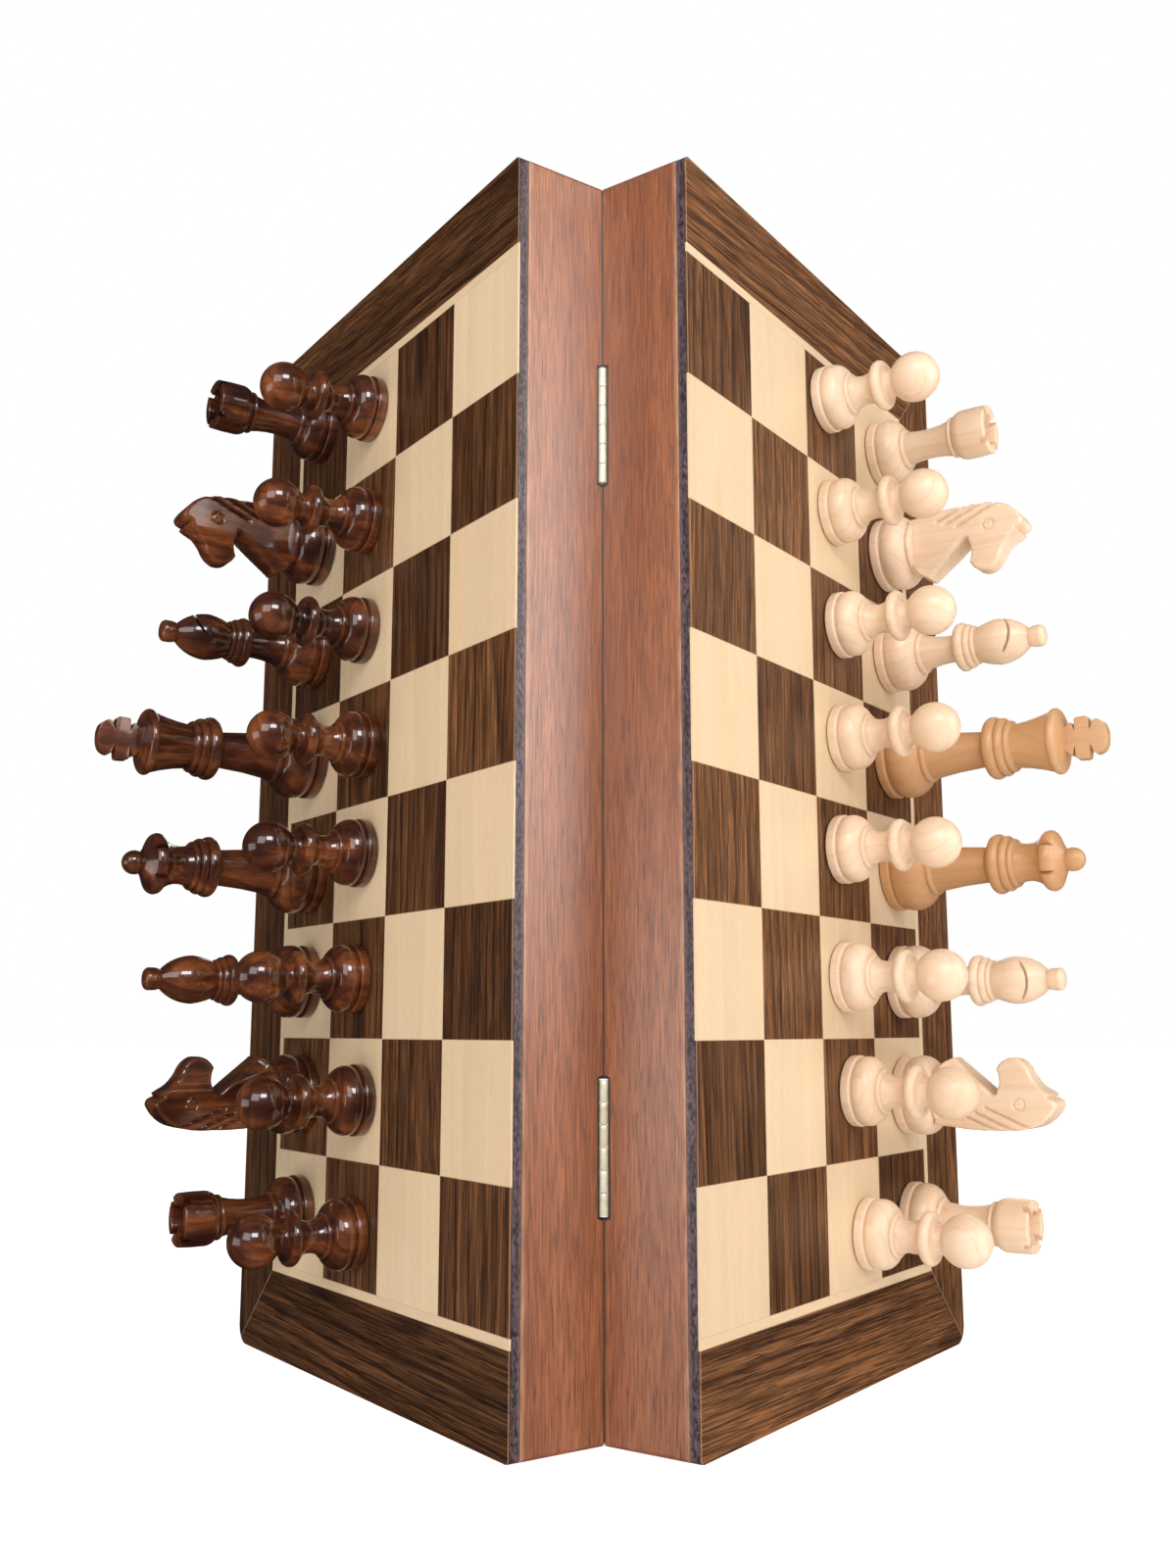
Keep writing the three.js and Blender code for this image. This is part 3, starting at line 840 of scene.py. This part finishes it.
def outer_wall(half):
    """Wall at the far edge, with blind pockets for the closure magnets in its rim."""
    node = f"{half.name}_outer_wall"
    x, y, z = half.span(node)
    outline = rectangle(x, z, WALL_EASE, FAR_CORNER)
    mesh = formed(prism(outline, y[0], y[1] + LAP, on_face, WALL_EASE, HIDDEN_EASE))
    for magnet in ("lower_closure_magnet", "upper_closure_magnet"):
        across, deep, up = half.span(f"{half.name}_{magnet}")
        centre = (sum(across) / 2, sum(up) / 2)
        radius = (up[1] - up[0]) / 2

        def pocket_place(a, b, level, centre=centre):
            return (centre[0] + a, level, centre[1] + b)

        mesh = cut(mesh, cylinder(radius + FIT, -1, deep[1] + TUCK, pocket_place))
        disc = formed(cylinder(radius, *deep, pocket_place, ease=0.3))
        mark(disc, grain_run("y"), 0.5)
        half.add(f"{magnet}_disc", disc, "nickel",
              [f"{half.name}_{magnet}"], smooth=40)
    mark(mesh, grain_run("z", 1.0), RANDOM.uniform(0.4, 0.7))
    half.add("outer_board", mesh, "box", [node])


def end_walls(half):
    """Upper and lower end walls, their ends hidden in the spine and outer walls."""
    for end in ("lower", "upper"):
        node = f"{half.name}_{end}_end_wall"
        x, y, z = half.span(node)
        outline = rectangle((y[0], y[1] + LAP), z, WALL_EASE, HIDDEN_EASE)
        mesh = formed(prism(outline, x[0] - TUCK, x[1] + TUCK, along_x))
        mark(mesh, grain_run("x", 1.0), RANDOM.uniform(0.4, 0.7))
        half.add(f"{end}_end_board", mesh, "box", [node])


def steel_sheet(half):
    """Thin plate that the magnets in the pieces' feet hold to."""
    node = f"{half.name}_steel_sheet"
    x, y, z = half.span(node)
    outline = rectangle(x, z, 1.0, 1.0)
    mesh = formed(prism(outline, y[0], y[1], on_face, 0.05, 0.05, 1))
    mark(mesh, grain_run("z"), 0.5)
    half.add("steel_plate", mesh, "steel", [node])


def felt_lining(half):
    """Felt glued over the steel: a soft sheet, uneven by a hair, curling at its cut edges."""
    node = f"{half.name}_felt_lining"
    x, y, z = half.span(node)
    columns, lines = LINING_GRID
    points, faces = [], []
    for face in (0, 1):
        for line in range(lines + 1):
            for column in range(columns + 1):
                u, v = column / columns, line / lines
                px, pz = x[0] + (x[1] - x[0]) * u, z[0] + (z[1] - z[0]) * v
                edge = min(px - x[0], x[1] - px, pz - z[0], z[1] - pz)
                curl = LINING_CURL * math.exp(-edge / 0.8)
                wave = 0.09 * math.sin(px * 0.11 + 1.3 * math.sin(pz * 0.031))
                wave += 0.07 * math.sin(pz * 0.083 + 2.1 * math.sin(px * 0.045))
                level = y[0] + LINING_DIP + wave + curl if face == 0 else y[1]
                points.append((px, level, pz))
    row = columns + 1
    layer = row * (lines + 1)
    for line in range(lines):
        for column in range(columns):
            a = line * row + column
            quad = [a, a + 1, a + row + 1, a + row]
            faces.append(quad)
            faces.append([corner + layer for corner in reversed(quad)])
    rim = list(range(columns))
    rim += [columns + line * row for line in range(lines)]
    rim += [lines * row + column for column in range(columns, 0, -1)]
    rim += [line * row for line in range(lines, 0, -1)]
    for index, here in enumerate(rim):
        following = rim[(index + 1) % len(rim)]
        faces.append([here, here + layer, following + layer, following])
    mesh = formed((points, faces))
    mark(mesh, Matrix.Identity(4), 0.5)
    made = half.add("felt_sheet", mesh, "lining", [node],
                 smooth=60)


# Hinges ----------------------------------------
SCREW_HEAD = 1.7
SCREW_SINK = stroke([(0, -0.5), (2.3, -0.5), (0.8, 1.6), (0, 1.6)])
SCREW_SLOT = ((-1.05, 1.05), (-0.19, 0.19), (-0.5, 0.75))
PIN_BORE = 0.8
SCREWS_FROM_MIDDLE = (-13.0, 0.0, 13.0)
KNUCKLES = 6
KNUCKLE_ROOM = 0.35
LEAF_THICKNESS = 1.0


def hinge_leaf(half, hinge):
    """Leaf let into the rim, its share of the barrel's knuckles, and three countersunk screws."""
    node = f"{hinge}_{half.name}_leaf"
    x, y, z = half.span(node)
    pin = half.span(f"{hinge}_pin")
    radius = -y[0]
    low, high = pin[2]
    pitch = (high - low) / KNUCKLES
    plate_y = (y[1] - LEAF_THICKNESS, y[1])
    mesh = formed(prism(rectangle((0.3, x[1]), (low, high), 0, 0.8), *plate_y, on_face,
                        0.1, 0.1, 1))
    own = 0 if half.name == "left" else 1
    for index in range(KNUCKLES):
        z0, z1 = low + index * pitch, low + (index + 1) * pitch
        if index % 2 == own:
            barrel = formed(cylinder(radius, z0 + LAP, z1 - LAP, upright, 64, 0.12))
            mesh = combined(mesh, barrel, "UNION")
        else:
            room = radius + KNUCKLE_ROOM
            mesh = cut(mesh, boxed((-2, room), (-2, 2), (z0 - LAP, z1 + LAP)))
    mesh = cut(mesh, cylinder(PIN_BORE, low - 1, high + 1, upright))
    screw_x = (radius + x[1]) / 2 + 0.3
    screws = []
    for offset in SCREWS_FROM_MIDDLE:
        place = Matrix.Translation((screw_x, plate_y[0], (z[0] + z[1]) / 2 + offset))
        down = place @ Matrix.Rotation(math.radians(-90), 4, "X")
        mesh = cut(mesh, lathe(SCREW_SINK, 48), down)
        screws.append(screw(down))
    mark(mesh, grain_run("z"), 0.5)
    piece(f"{hinge}_{half.name}_plate", mesh, half.matrix, "brass", half.body, [node], smooth=35)
    heads = joined(screws, "screws")
    piece(f"{hinge}_{half.name}_screws", heads, half.matrix, "brass", half.body, smooth=35)


def screw(matrix):
    """Countersunk head with a cross recess, set in the leaf; its z runs into the wood."""
    profile = stroke([(0, 0.12), (SCREW_HEAD - 0.12, 0.16), (SCREW_HEAD, 0.3, 60), (0.75, 1.25),
                      (0.75, 6.5), (0, 8.0)])
    head = formed(lathe(profile, 48))
    turn = RANDOM.uniform(0, 90)
    for angle in (turn, turn + 90):
        head = cut(head, boxed(*SCREW_SLOT), Matrix.Rotation(math.radians(angle), 4, "Z"))
    head.transform(matrix)
    mark(head, grain_run("y"), 0.6)
    return head


def hinge_pin(half, hinge):
    """Steel-bright pin with domed ends."""
    node = f"{hinge}_pin"
    x, y, z = half.span(node)
    radius = (x[1] - x[0]) / 2
    profile = stroke([(0, z[0]), (radius * 0.6, z[0] + 0.05), (radius, z[0] + 0.4, 60),
                      (radius, z[1] - 0.4), (radius * 0.6, z[1] - 0.05, 60), (0, z[1])])
    mesh = formed(lathe(profile, 32))
    mark(mesh, grain_run("z"), 0.5)
    piece(f"{hinge}_rod", mesh, half.matrix, "brass", "left_half", [node], smooth=40)


# Chess pieces ----------------------------------------
def foot(radius, bell_top, bell_radius, bead):
    """Profile from the base disc over a groove and the bell to the bead under the stem."""
    return [
        (0, 0), (radius - 0.4, 0), (radius, 0.4, 80), (radius, 2.6), (radius - 0.5, 3.2, 70),
        (radius - 0.9, 3.5), (radius - 0.55, 4.0, -20), (bell_radius, bell_top, 96),
        (bell_radius - 0.25, bell_top + 0.15), (bead[0], bead[1], 110),
    ]


PROFILES = {
    "pawn": foot(11.6, 10.3, 7.3, (6.4, 11.7)) + [
        (6.2, 11.8), (6.5, 19.9, -74), (7.3, 20.2), (7.2, 23.9, 150), (5.0, 24.6, -40),
        (4.7, 25.3), (4.94, 27.0), (0, 42.2, 144)],
    "rook": foot(12.3, 11.1, 7.6, (6.5, 12.6)) + [
        (6.2, 12.7), (6.6, 29.2, -27), (7.1, 29.4), (7.1, 30.8, 120), (6.8, 31.0),
        (7.3, 31.2), (9.0, 35.0, 55), (8.8, 43.2, 6), (8.4, 43.6, 70), (6.0, 43.6),
        (5.6, 43.2, 70), (5.3, 38.4), (4.6, 37.8, -80), (0, 37.6)],
    "bishop": foot(12.8, 13.5, 7.8, (6.8, 15.3)) + [
        (6.5, 15.4), (4.9, 26.8, -20), (7.3, 27.6, -50), (7.5, 27.7), (7.9, 31.2, 130),
        (7.6, 31.3), (7.0, 33.5, 110), (6.7, 33.6), (6.4, 35.1, 120), (6.2, 35.2),
        (8.2, 42.4, 18), (3.5, 53.2, 45), (3.3, 53.5), (3.8, 56.8, 28), (2.9, 58.7, 80),
        (0, 59.2, 20)],
    "queen": foot(14.5, 14.5, 9.6, (8.7, 16.6)) + [
        (8.4, 16.8), (6.2, 35.0, -8), (8.7, 36.6, -50), (8.8, 36.7), (9.5, 40.8, 130),
        (9.2, 40.9), (8.6, 43.6, 115), (8.2, 43.7), (7.7, 45.6, 115), (7.2, 45.8),
        (8.8, 54.7, -69), (9.2, 54.9), (8.9, 59.4, 128), (8.5, 59.6), (3.7, 62.1, -12),
        (3.73, 62.4), (0, 68.2, 114)],
    "king": foot(14.3, 14.5, 9.8, (9.0, 16.6)) + [
        (8.7, 16.8), (6.3, 35.8, -8), (9.2, 37.4, -50), (9.3, 37.5), (10.1, 41.8, 130),
        (9.8, 41.9), (9.2, 44.8, 115), (8.8, 44.9), (8.2, 47.0, 115), (7.7, 47.3),
        (10.6, 60.2, -14), (10.8, 60.3), (10.5, 63.0, 125), (10.2, 63.1), (3.0, 65.2),
        (0, 65.2)],
    "knight": foot(13.5, 12.4, 10.2, (9.9, 14.2)) + [(9.4, 14.6, 60), (0, 14.6)],
}

BISHOP_TURNS = {"dark": (50, 200), "light": (10, -5)}
KNIGHT_HALF = 6.5
KNIGHT_OUTLINE = [
    (-9.8, 12.5), (8.6, 12.5), (8.6, 13.6), (13.2, 19.6, 42), (0.9, 33.6), (1.0, 34.6, 60),
    (9.6, 34.6, -46), (13.2, 41.6, 84), (8.2, 45.8, 50), (3.2, 49.8, -24), (1.4, 52.6),
    (0.4, 52.0), (-0.3, 53.6), (-2.6, 54.6, 70), (-9.4, 47.6, 42), (-11.0, 36.0, 22),
    (-10.9, 24.0, 6), (-9.8, 12.5, -6),
]
KNIGHT_EYE = (-2.2, 42.6)
HEAD_PITCH = 0.5
HEAD_LAYERS = 8
MANE = [((-9.8, 45.4), (-3.6, 31.0)), ((-11.0, 40.6), (-5.2, 27.0)), ((-11.4, 35.4), (-6.8, 24.0))]


def point_segments(points, start, end):
    """Distance of each point from a segment."""
    start, end = np.array(start), np.array(end)
    along = end - start
    share = np.clip(((points - start) @ along) / (along @ along), 0, 1)
    return np.linalg.norm(points - (start + share[:, None] * along), axis=1)


def outline_distance(points, loop):
    """Distance of each point from a closed outline."""
    return np.min([point_segments(points, loop[index - 1], loop[index])
                   for index in range(len(loop))], axis=0)


def smooth_step(value, low, high):
    t = np.clip((value - low) / (high - low), 0, 1)
    return t * t * (3 - 2 * t)


def knight_thickness(points, to_edge):
    """Half the head's thickness at each (forward, height): rounded edges, facets and cuts."""
    forward, height = points[:, 0], points[:, 1]
    half = np.full(len(points), KNIGHT_HALF)
    # The cheek and muzzle are thinner than the neck
    cheek = smooth_step(forward, 2.2, 4.6) * smooth_step(height, 31, 36)
    half -= 1.5 * cheek + 0.16 * np.maximum(forward - 4.6, 0) * cheek
    # Sloping facet down the chest
    chest = point_segments(points, (13.2, 22.0), (1.6, 33.0))
    width = 1.0 + 6.0 * (1 - smooth_step(height, 14, 33))
    half -= 0.62 * np.maximum(width - chest, 0) * (height < 34)
    # Rounded outline, then the mane's cuts and the eye
    edge = 0.9
    near = edge - np.minimum(to_edge, edge)
    half -= edge - np.sqrt(np.maximum(edge * edge - near * near, 0))
    for start, end in MANE:
        cut = point_segments(points, start, end)
        half -= 1.2 * np.maximum(1 - cut / 0.85, 0)
    from_eye = np.linalg.norm(points - np.array(KNIGHT_EYE), axis=1)
    half -= 0.55 * np.maximum(1 - np.abs(from_eye - 1.9) / 0.45, 0)
    half -= 0.4 * np.maximum(1 - from_eye / 0.5, 0)
    return half


def knight_head():
    """The horse's head: a flat-sided slab with its outline, carved on both faces."""
    loop = []
    raw = stroke(KNIGHT_OUTLINE)[:-1]
    for index, start in enumerate(raw):
        end = raw[(index + 1) % len(raw)]
        steps = max(1, round((Vector(end) - Vector(start)).length / HEAD_PITCH))
        loop += [tuple(Vector(start).lerp(Vector(end), step / steps)) for step in range(steps)]
    low, high = np.min(loop, axis=0), np.max(loop, axis=0)
    line_pitch = HEAD_PITCH * 0.866
    inside = np.array([
        (low[0] + column * HEAD_PITCH + (HEAD_PITCH / 2 if line % 2 else 0),
         low[1] + line * line_pitch)
        for line in range(int((high[1] - low[1]) / line_pitch) + 1)
        for column in range(int((high[0] - low[0]) / HEAD_PITCH) + 2)])
    clear = outline_distance(inside, loop) > HEAD_PITCH * 0.6
    flat = [Vector(spot) for spot in [*loop, *inside[clear]]]
    ring = [(index, (index + 1) % len(loop)) for index in range(len(loop))]
    places, _, faces, sources, _, _ = delaunay_2d_cdt(flat, ring, [], 1, 1e-6)
    place = np.array([tuple(point) for point in places])
    half = knight_thickness(place, outline_distance(place, loop))
    count = len(place)
    points = [(u, -t, v) for (u, v), t in zip(place, half)]
    points += [(u, t, v) for (u, v), t in zip(place, half)]
    sides = [list(face) for face in faces]
    sides += [[corner + count for corner in reversed(face)] for face in faces]
    border_of = {source: index for index, origins in enumerate(sources) for source in origins}
    rim = [border_of[index] for index in range(len(loop))]
    levels = [rim]
    for layer in range(1, HEAD_LAYERS):
        share = layer / HEAD_LAYERS * 2 - 1
        levels.append(list(range(len(points), len(points) + len(rim))))
        points += [(place[index][0], share * half[index], place[index][1]) for index in rim]
    levels.append([index + count for index in rim])
    for lower, upper in zip(levels, levels[1:]):
        sides += band(lower, upper)
    return formed((points, sides))


CROSS = [
    (3.4, 64.0), (5.5, 66.0), (5.4, 66.9, 60), (2.6, 67.7), (6.6, 67.9), (7.2, 68.6, 50),
    (7.3, 71.6, 6), (6.7, 72.4, 50), (2.6, 72.9), (5.4, 74.0), (5.9, 75.0, 40), (4.0, 77.8, 50),
    (0.0, 78.5, 26),
]
CROSS_HALF = 2.5
CROWN_CUTS = 6
CROWN_WEDGE = [(8.4, 0), (12.5, -1.9), (12.5, 1.9)]
CROWN_SPAN = (54.0, 62.0)
ROOK_SLOTS = ((12.0, 1.2), (1.2, 12.0))
ROOK_SLOT_SPAN = (41.3, 46.0)
MITRE_CUT = ((-7.0, 7.0), (-10.0, 10.0), (-0.42, 0.42))
MITRE_PLACE = (8.6, 0, 50.5)
MITRE_TILT = math.radians(-52)


def turned(kind):
    return formed(lathe(stroke(PROFILES[kind])))


def king_mesh():
    """King with a flat cross, its edges eased."""
    right = stroke(CROSS)
    outline = right + [(-a, b) for a, b in reversed(right[:-1])]
    work = formed(plain_prism(outline, -CROSS_HALF, CROSS_HALF, on_face))
    eased = bmesh.new()
    eased.from_mesh(work)
    sharp = [edge for edge in eased.edges if len(edge.link_faces) == 2
             and edge.calc_face_angle(0) > math.radians(60)]
    bmesh.ops.bevel(eased, geom=sharp, offset=0.3, segments=3, profile=0.5, affect="EDGES",
                    clamp_overlap=True)
    eased.to_mesh(work)
    eased.free()
    return combined(turned("king"), work, "UNION")


def queen_mesh():
    """Queen with V-shaped cuts round the rim of her crown."""
    mesh = turned("queen")
    wedge = plain_prism(CROWN_WEDGE, *CROWN_SPAN, upright)
    for index in range(CROWN_CUTS):
        turn = 2 * math.pi * (index + 0.5) / CROWN_CUTS
        mesh = cut(mesh, wedge, Matrix.Rotation(turn, 4, "Z"))
    return mesh


def rook_mesh():
    """Rook with four merlons round a hollow top."""
    mesh = turned("rook")
    for along, across in ROOK_SLOTS:
        mesh = cut(mesh, boxed((-along, along), (-across, across), ROOK_SLOT_SPAN))
    return mesh


def bishop_mesh():
    """Bishop with one slanting cut in the mitre."""
    slant = Matrix.Translation(MITRE_PLACE) @ Matrix.Rotation(MITRE_TILT, 4, "Y")
    return cut(turned("bishop"), boxed(*MITRE_CUT), slant)


def knight_mesh():
    """Knight's carved head on its turned foot."""
    return combined(turned("knight"), knight_head(), "UNION")


def expose(mesh):
    """Writes how sharply the surface turns at each point: above 0 on ridges, below in grooves."""
    work = bmesh.new()
    work.from_mesh(mesh)
    bmesh.ops.remove_doubles(work, verts=work.verts, dist=1e-4)
    values = np.zeros(len(work.verts))
    weights = np.zeros(len(work.verts))
    for edge in work.edges:
        if len(edge.link_faces) != 2:
            continue
        angle = edge.calc_face_angle_signed(0.0)
        reach = (edge.link_faces[0].calc_area() + edge.link_faces[1].calc_area())
        reach = max(reach / max(edge.calc_length(), 0.05), 0.2)
        bend = max(-1.0, min(1.0, angle / reach * 1.1))
        for vertex in edge.verts:
            weight = abs(angle)
            values[vertex.index] += bend * weight
            weights[vertex.index] += weight
    values = values / np.maximum(weights, 1e-6)
    for _ in range(2):
        blurred = values.copy()
        for vertex in work.verts:
            around = [edge.other_vert(vertex).index for edge in vertex.link_edges]
            blurred[vertex.index] = 0.5 * values[vertex.index] + 0.5 * np.mean(values[around])
        values = blurred
    work.to_mesh(mesh)
    work.free()
    found = mesh.attributes.get("wear")
    if found:
        mesh.attributes.remove(found)
    wear = mesh.attributes.new("wear", "FLOAT", "POINT")
    wear.data.foreach_set("value", values.astype(np.float32))
    return mesh


SHAPES = {"pawn": expose(turned("pawn")), "rook": expose(rook_mesh()),
          "knight": expose(knight_mesh()), "bishop": expose(bishop_mesh()),
          "queen": expose(queen_mesh()), "king": expose(king_mesh())}


def stand(half, node, turn):
    """A piece's frame in metres, on the CAD node's foot; its z runs along the joint's axis.

    turn is the angle of its x from the half's front side, up past the vertical, in degrees.
    """
    out = half.out
    places = [vertex.co.copy() for vertex in NODES[node].data.vertices]
    heights = [place.dot(out) for place in places]
    base = min(heights)
    sole = [place for place, height in zip(places, heights) if height < base + 0.1 * MM]
    low = [min(place[axis] for place in sole) for axis in range(3)]
    high = [max(place[axis] for place in sole) for axis in range(3)]
    angle = math.radians(turn)
    ahead = -half.away * math.cos(angle) + Vector((0, 0, 1)) * math.sin(angle)
    return placed((ahead, out.cross(ahead), out), (Vector(low) + Vector(high)) / 2)


def chess_piece(half, node, kind, tone, turn=0.0):
    """One piece in its own run of wood, and the felt disc glued under its foot."""
    matrix = stand(half, node, turn)
    mesh = SHAPES[kind].copy()
    mark(mesh, grain_run("z", 2.0, (4.0, 30.0)), tone)
    piece(f"{node}_carving", mesh, matrix, half.army, node, [node], smooth=SMOOTH_BELOW)
    radius = PROFILES[kind][2][0] - PAD_INSET
    pad = formed(cylinder(radius, *PAD_SPAN, upright, 72))
    mark(pad, grain_run("z"), 0.5)
    piece(f"{node}_felt_pad", pad, matrix, "pad", node)


def army(half):
    """A half's sixteen pieces; the light king and queen are of a browner wood."""
    for row in range(8):
        chess_piece(half, f"{half.army}_pawn_{row + 1}", "pawn", RANDOM.uniform(0.3, 0.9))
    for row, kind in enumerate(BACK_RANK):
        single = BACK_RANK.count(kind) == 1
        name = kind if single else f"{kind}_{1 if row < 4 else 2}"
        royal = half.army == "light" and single
        tone = RANDOM.uniform(0.0, 0.06) if royal else RANDOM.uniform(0.35, 0.9)
        downward = row < 4
        turn = {"rook": 45, "knight": -90 if downward else 90, "king": 90,
                "bishop": BISHOP_TURNS[half.army][0 if downward else 1]}.get(kind, 0)
        chess_piece(half, f"{half.army}_{name}", kind, tone, turn)


# Assembly ----------------------------------------
for half in HALVES:
    veneers(half)
    spine_wall(half)
    outer_wall(half)
    end_walls(half)
    steel_sheet(half)
    felt_lining(half)
    for hinge in HINGES:
        hinge_leaf(half, hinge)
    army(half)
for hinge in HINGES:
    hinge_pin(HALVES[0], hinge)


# Stage: floor, light and camera ----------------------------------------
WHITE = (1.0, 1.0, 1.0)
MIDDLE = (0.0, 0.0, 0.19)
FLOOR_RADIUS = 12.0
FLOOR_GLOW = 0.74
SKY_RISE = (0.15, 0.43)
SKY_BEHIND = 0.45
SKY_IN_GLOSS = 0.16
SKY_COLOR = (1.0, 0.99, 0.98)
CAMERA_PLACE = (-0.00305, -0.49525, 0.11456)
CAMERA_AIM = (-0.0034, 0.9860, 0.1669)
CAMERA_LENS = 33.19


def floor():
    """Plain pale floor, which its own glow keeps as white as the background."""
    shader = new_material("floor")
    place = shader.node("TexCoord", {}).outputs["Object"]
    cloud = shader.node("TexNoise", {"Vector": place, "Scale": 3.0, "Detail": 3.0}).outputs["Fac"]
    shader.paint(cloud, [(0.3, 0.88), (0.7, 0.9)])
    material = shader.surface(0.9, Specular_IOR_Level=0.2, Emission_Color=rgba(WHITE),
                              Emission_Strength=FLOOR_GLOW)
    mesh = bpy.data.meshes.new("floor")
    ring = [(FLOOR_RADIUS * math.cos(math.radians(angle)),
             FLOOR_RADIUS * math.sin(math.radians(angle)), 0.0) for angle in range(0, 360, 5)]
    mesh.from_pydata(ring, [], [list(range(len(ring)))])
    mesh.materials.append(material)
    made = bpy.data.objects.new("floor", mesh)
    bpy.context.scene.collection.objects.link(made)
    made.visible_glossy = False


def world():
    """White seen by the camera; a soft sky for the object, brighter above and in front."""
    sky = Shader(bpy.data.worlds.new("studio"))
    bpy.context.scene.world = sky.owner
    direction = sky.node("TexCoord", {}).outputs["Generated"]
    _, back, up = sky.node("SeparateXYZ", {"Vector": direction}).outputs
    strength = sky.times(
        sky.span(up, -0.35, 0.5, *SKY_RISE, interpolation_type="SMOOTHSTEP"),
        sky.span(back, -0.2, 0.5, 1.0, SKY_BEHIND, interpolation_type="SMOOTHSTEP"))

    def shade(color, power):
        return sky.node("Background", {"Color": rgba(color), "Strength": power}).outputs[0]

    rays = sky.node("LightPath", {}).outputs
    surface = shade(SKY_COLOR, strength)
    for ray, other in (("Is Glossy Ray", shade(SKY_COLOR, sky.times(strength, SKY_IN_GLOSS))),
                       ("Is Camera Ray", shade(WHITE, 1.0))):
        surface = sky.node("MixShader", {0: rays[ray], 1: surface, 2: other}).outputs[0]
    sky.node("OutputWorld", {"Surface": surface})


def softbox(name, place, target, size, power, color=WHITE):
    lamp = bpy.data.lights.new(name, "AREA")
    lamp.shape = "RECTANGLE"
    lamp.size, lamp.size_y = size
    lamp.energy = power
    lamp.color = color
    made = bpy.data.objects.new(name, lamp)
    made.location = place
    made.rotation_euler = (Vector(target) - Vector(place)).to_track_quat("-Z", "Y").to_euler()
    bpy.context.scene.collection.objects.link(made)


def camera():
    """Camera in front of the fold, low, looking slightly up."""
    lens = bpy.data.cameras.new("camera")
    lens.lens = CAMERA_LENS
    lens.sensor_width = 36.0
    lens.clip_start = 0.01
    made = bpy.data.objects.new("camera", lens)
    made.location = CAMERA_PLACE
    made.rotation_euler = Vector(CAMERA_AIM).to_track_quat("-Z", "Y").to_euler()
    bpy.context.scene.collection.objects.link(made)
    bpy.context.scene.camera = made


floor()
world()
softbox("front_window", (0.3, -1.35, 1.0), MIDDLE, (0.7, 0.45), 12.5, (1.0, 0.95, 0.99))
softbox("right_window", (1.3, -0.45, 0.62), (0.0, 0.0, 0.24), (1.1, 0.9), 9.7)
softbox("left_window", (-1.15, -0.5, 0.1), (0.0, 0.0, 0.14), (0.8, 0.45), 2.0)
softbox("left_sky", (-0.55, -1.2, 0.7), MIDDLE, (0.8, 0.7), 5.0)
softbox("back_fill", (0.25, 1.5, 0.8), MIDDLE, (1.0, 0.8), 6.0)
camera()
bpy.context.scene.view_settings.view_transform = "Standard"
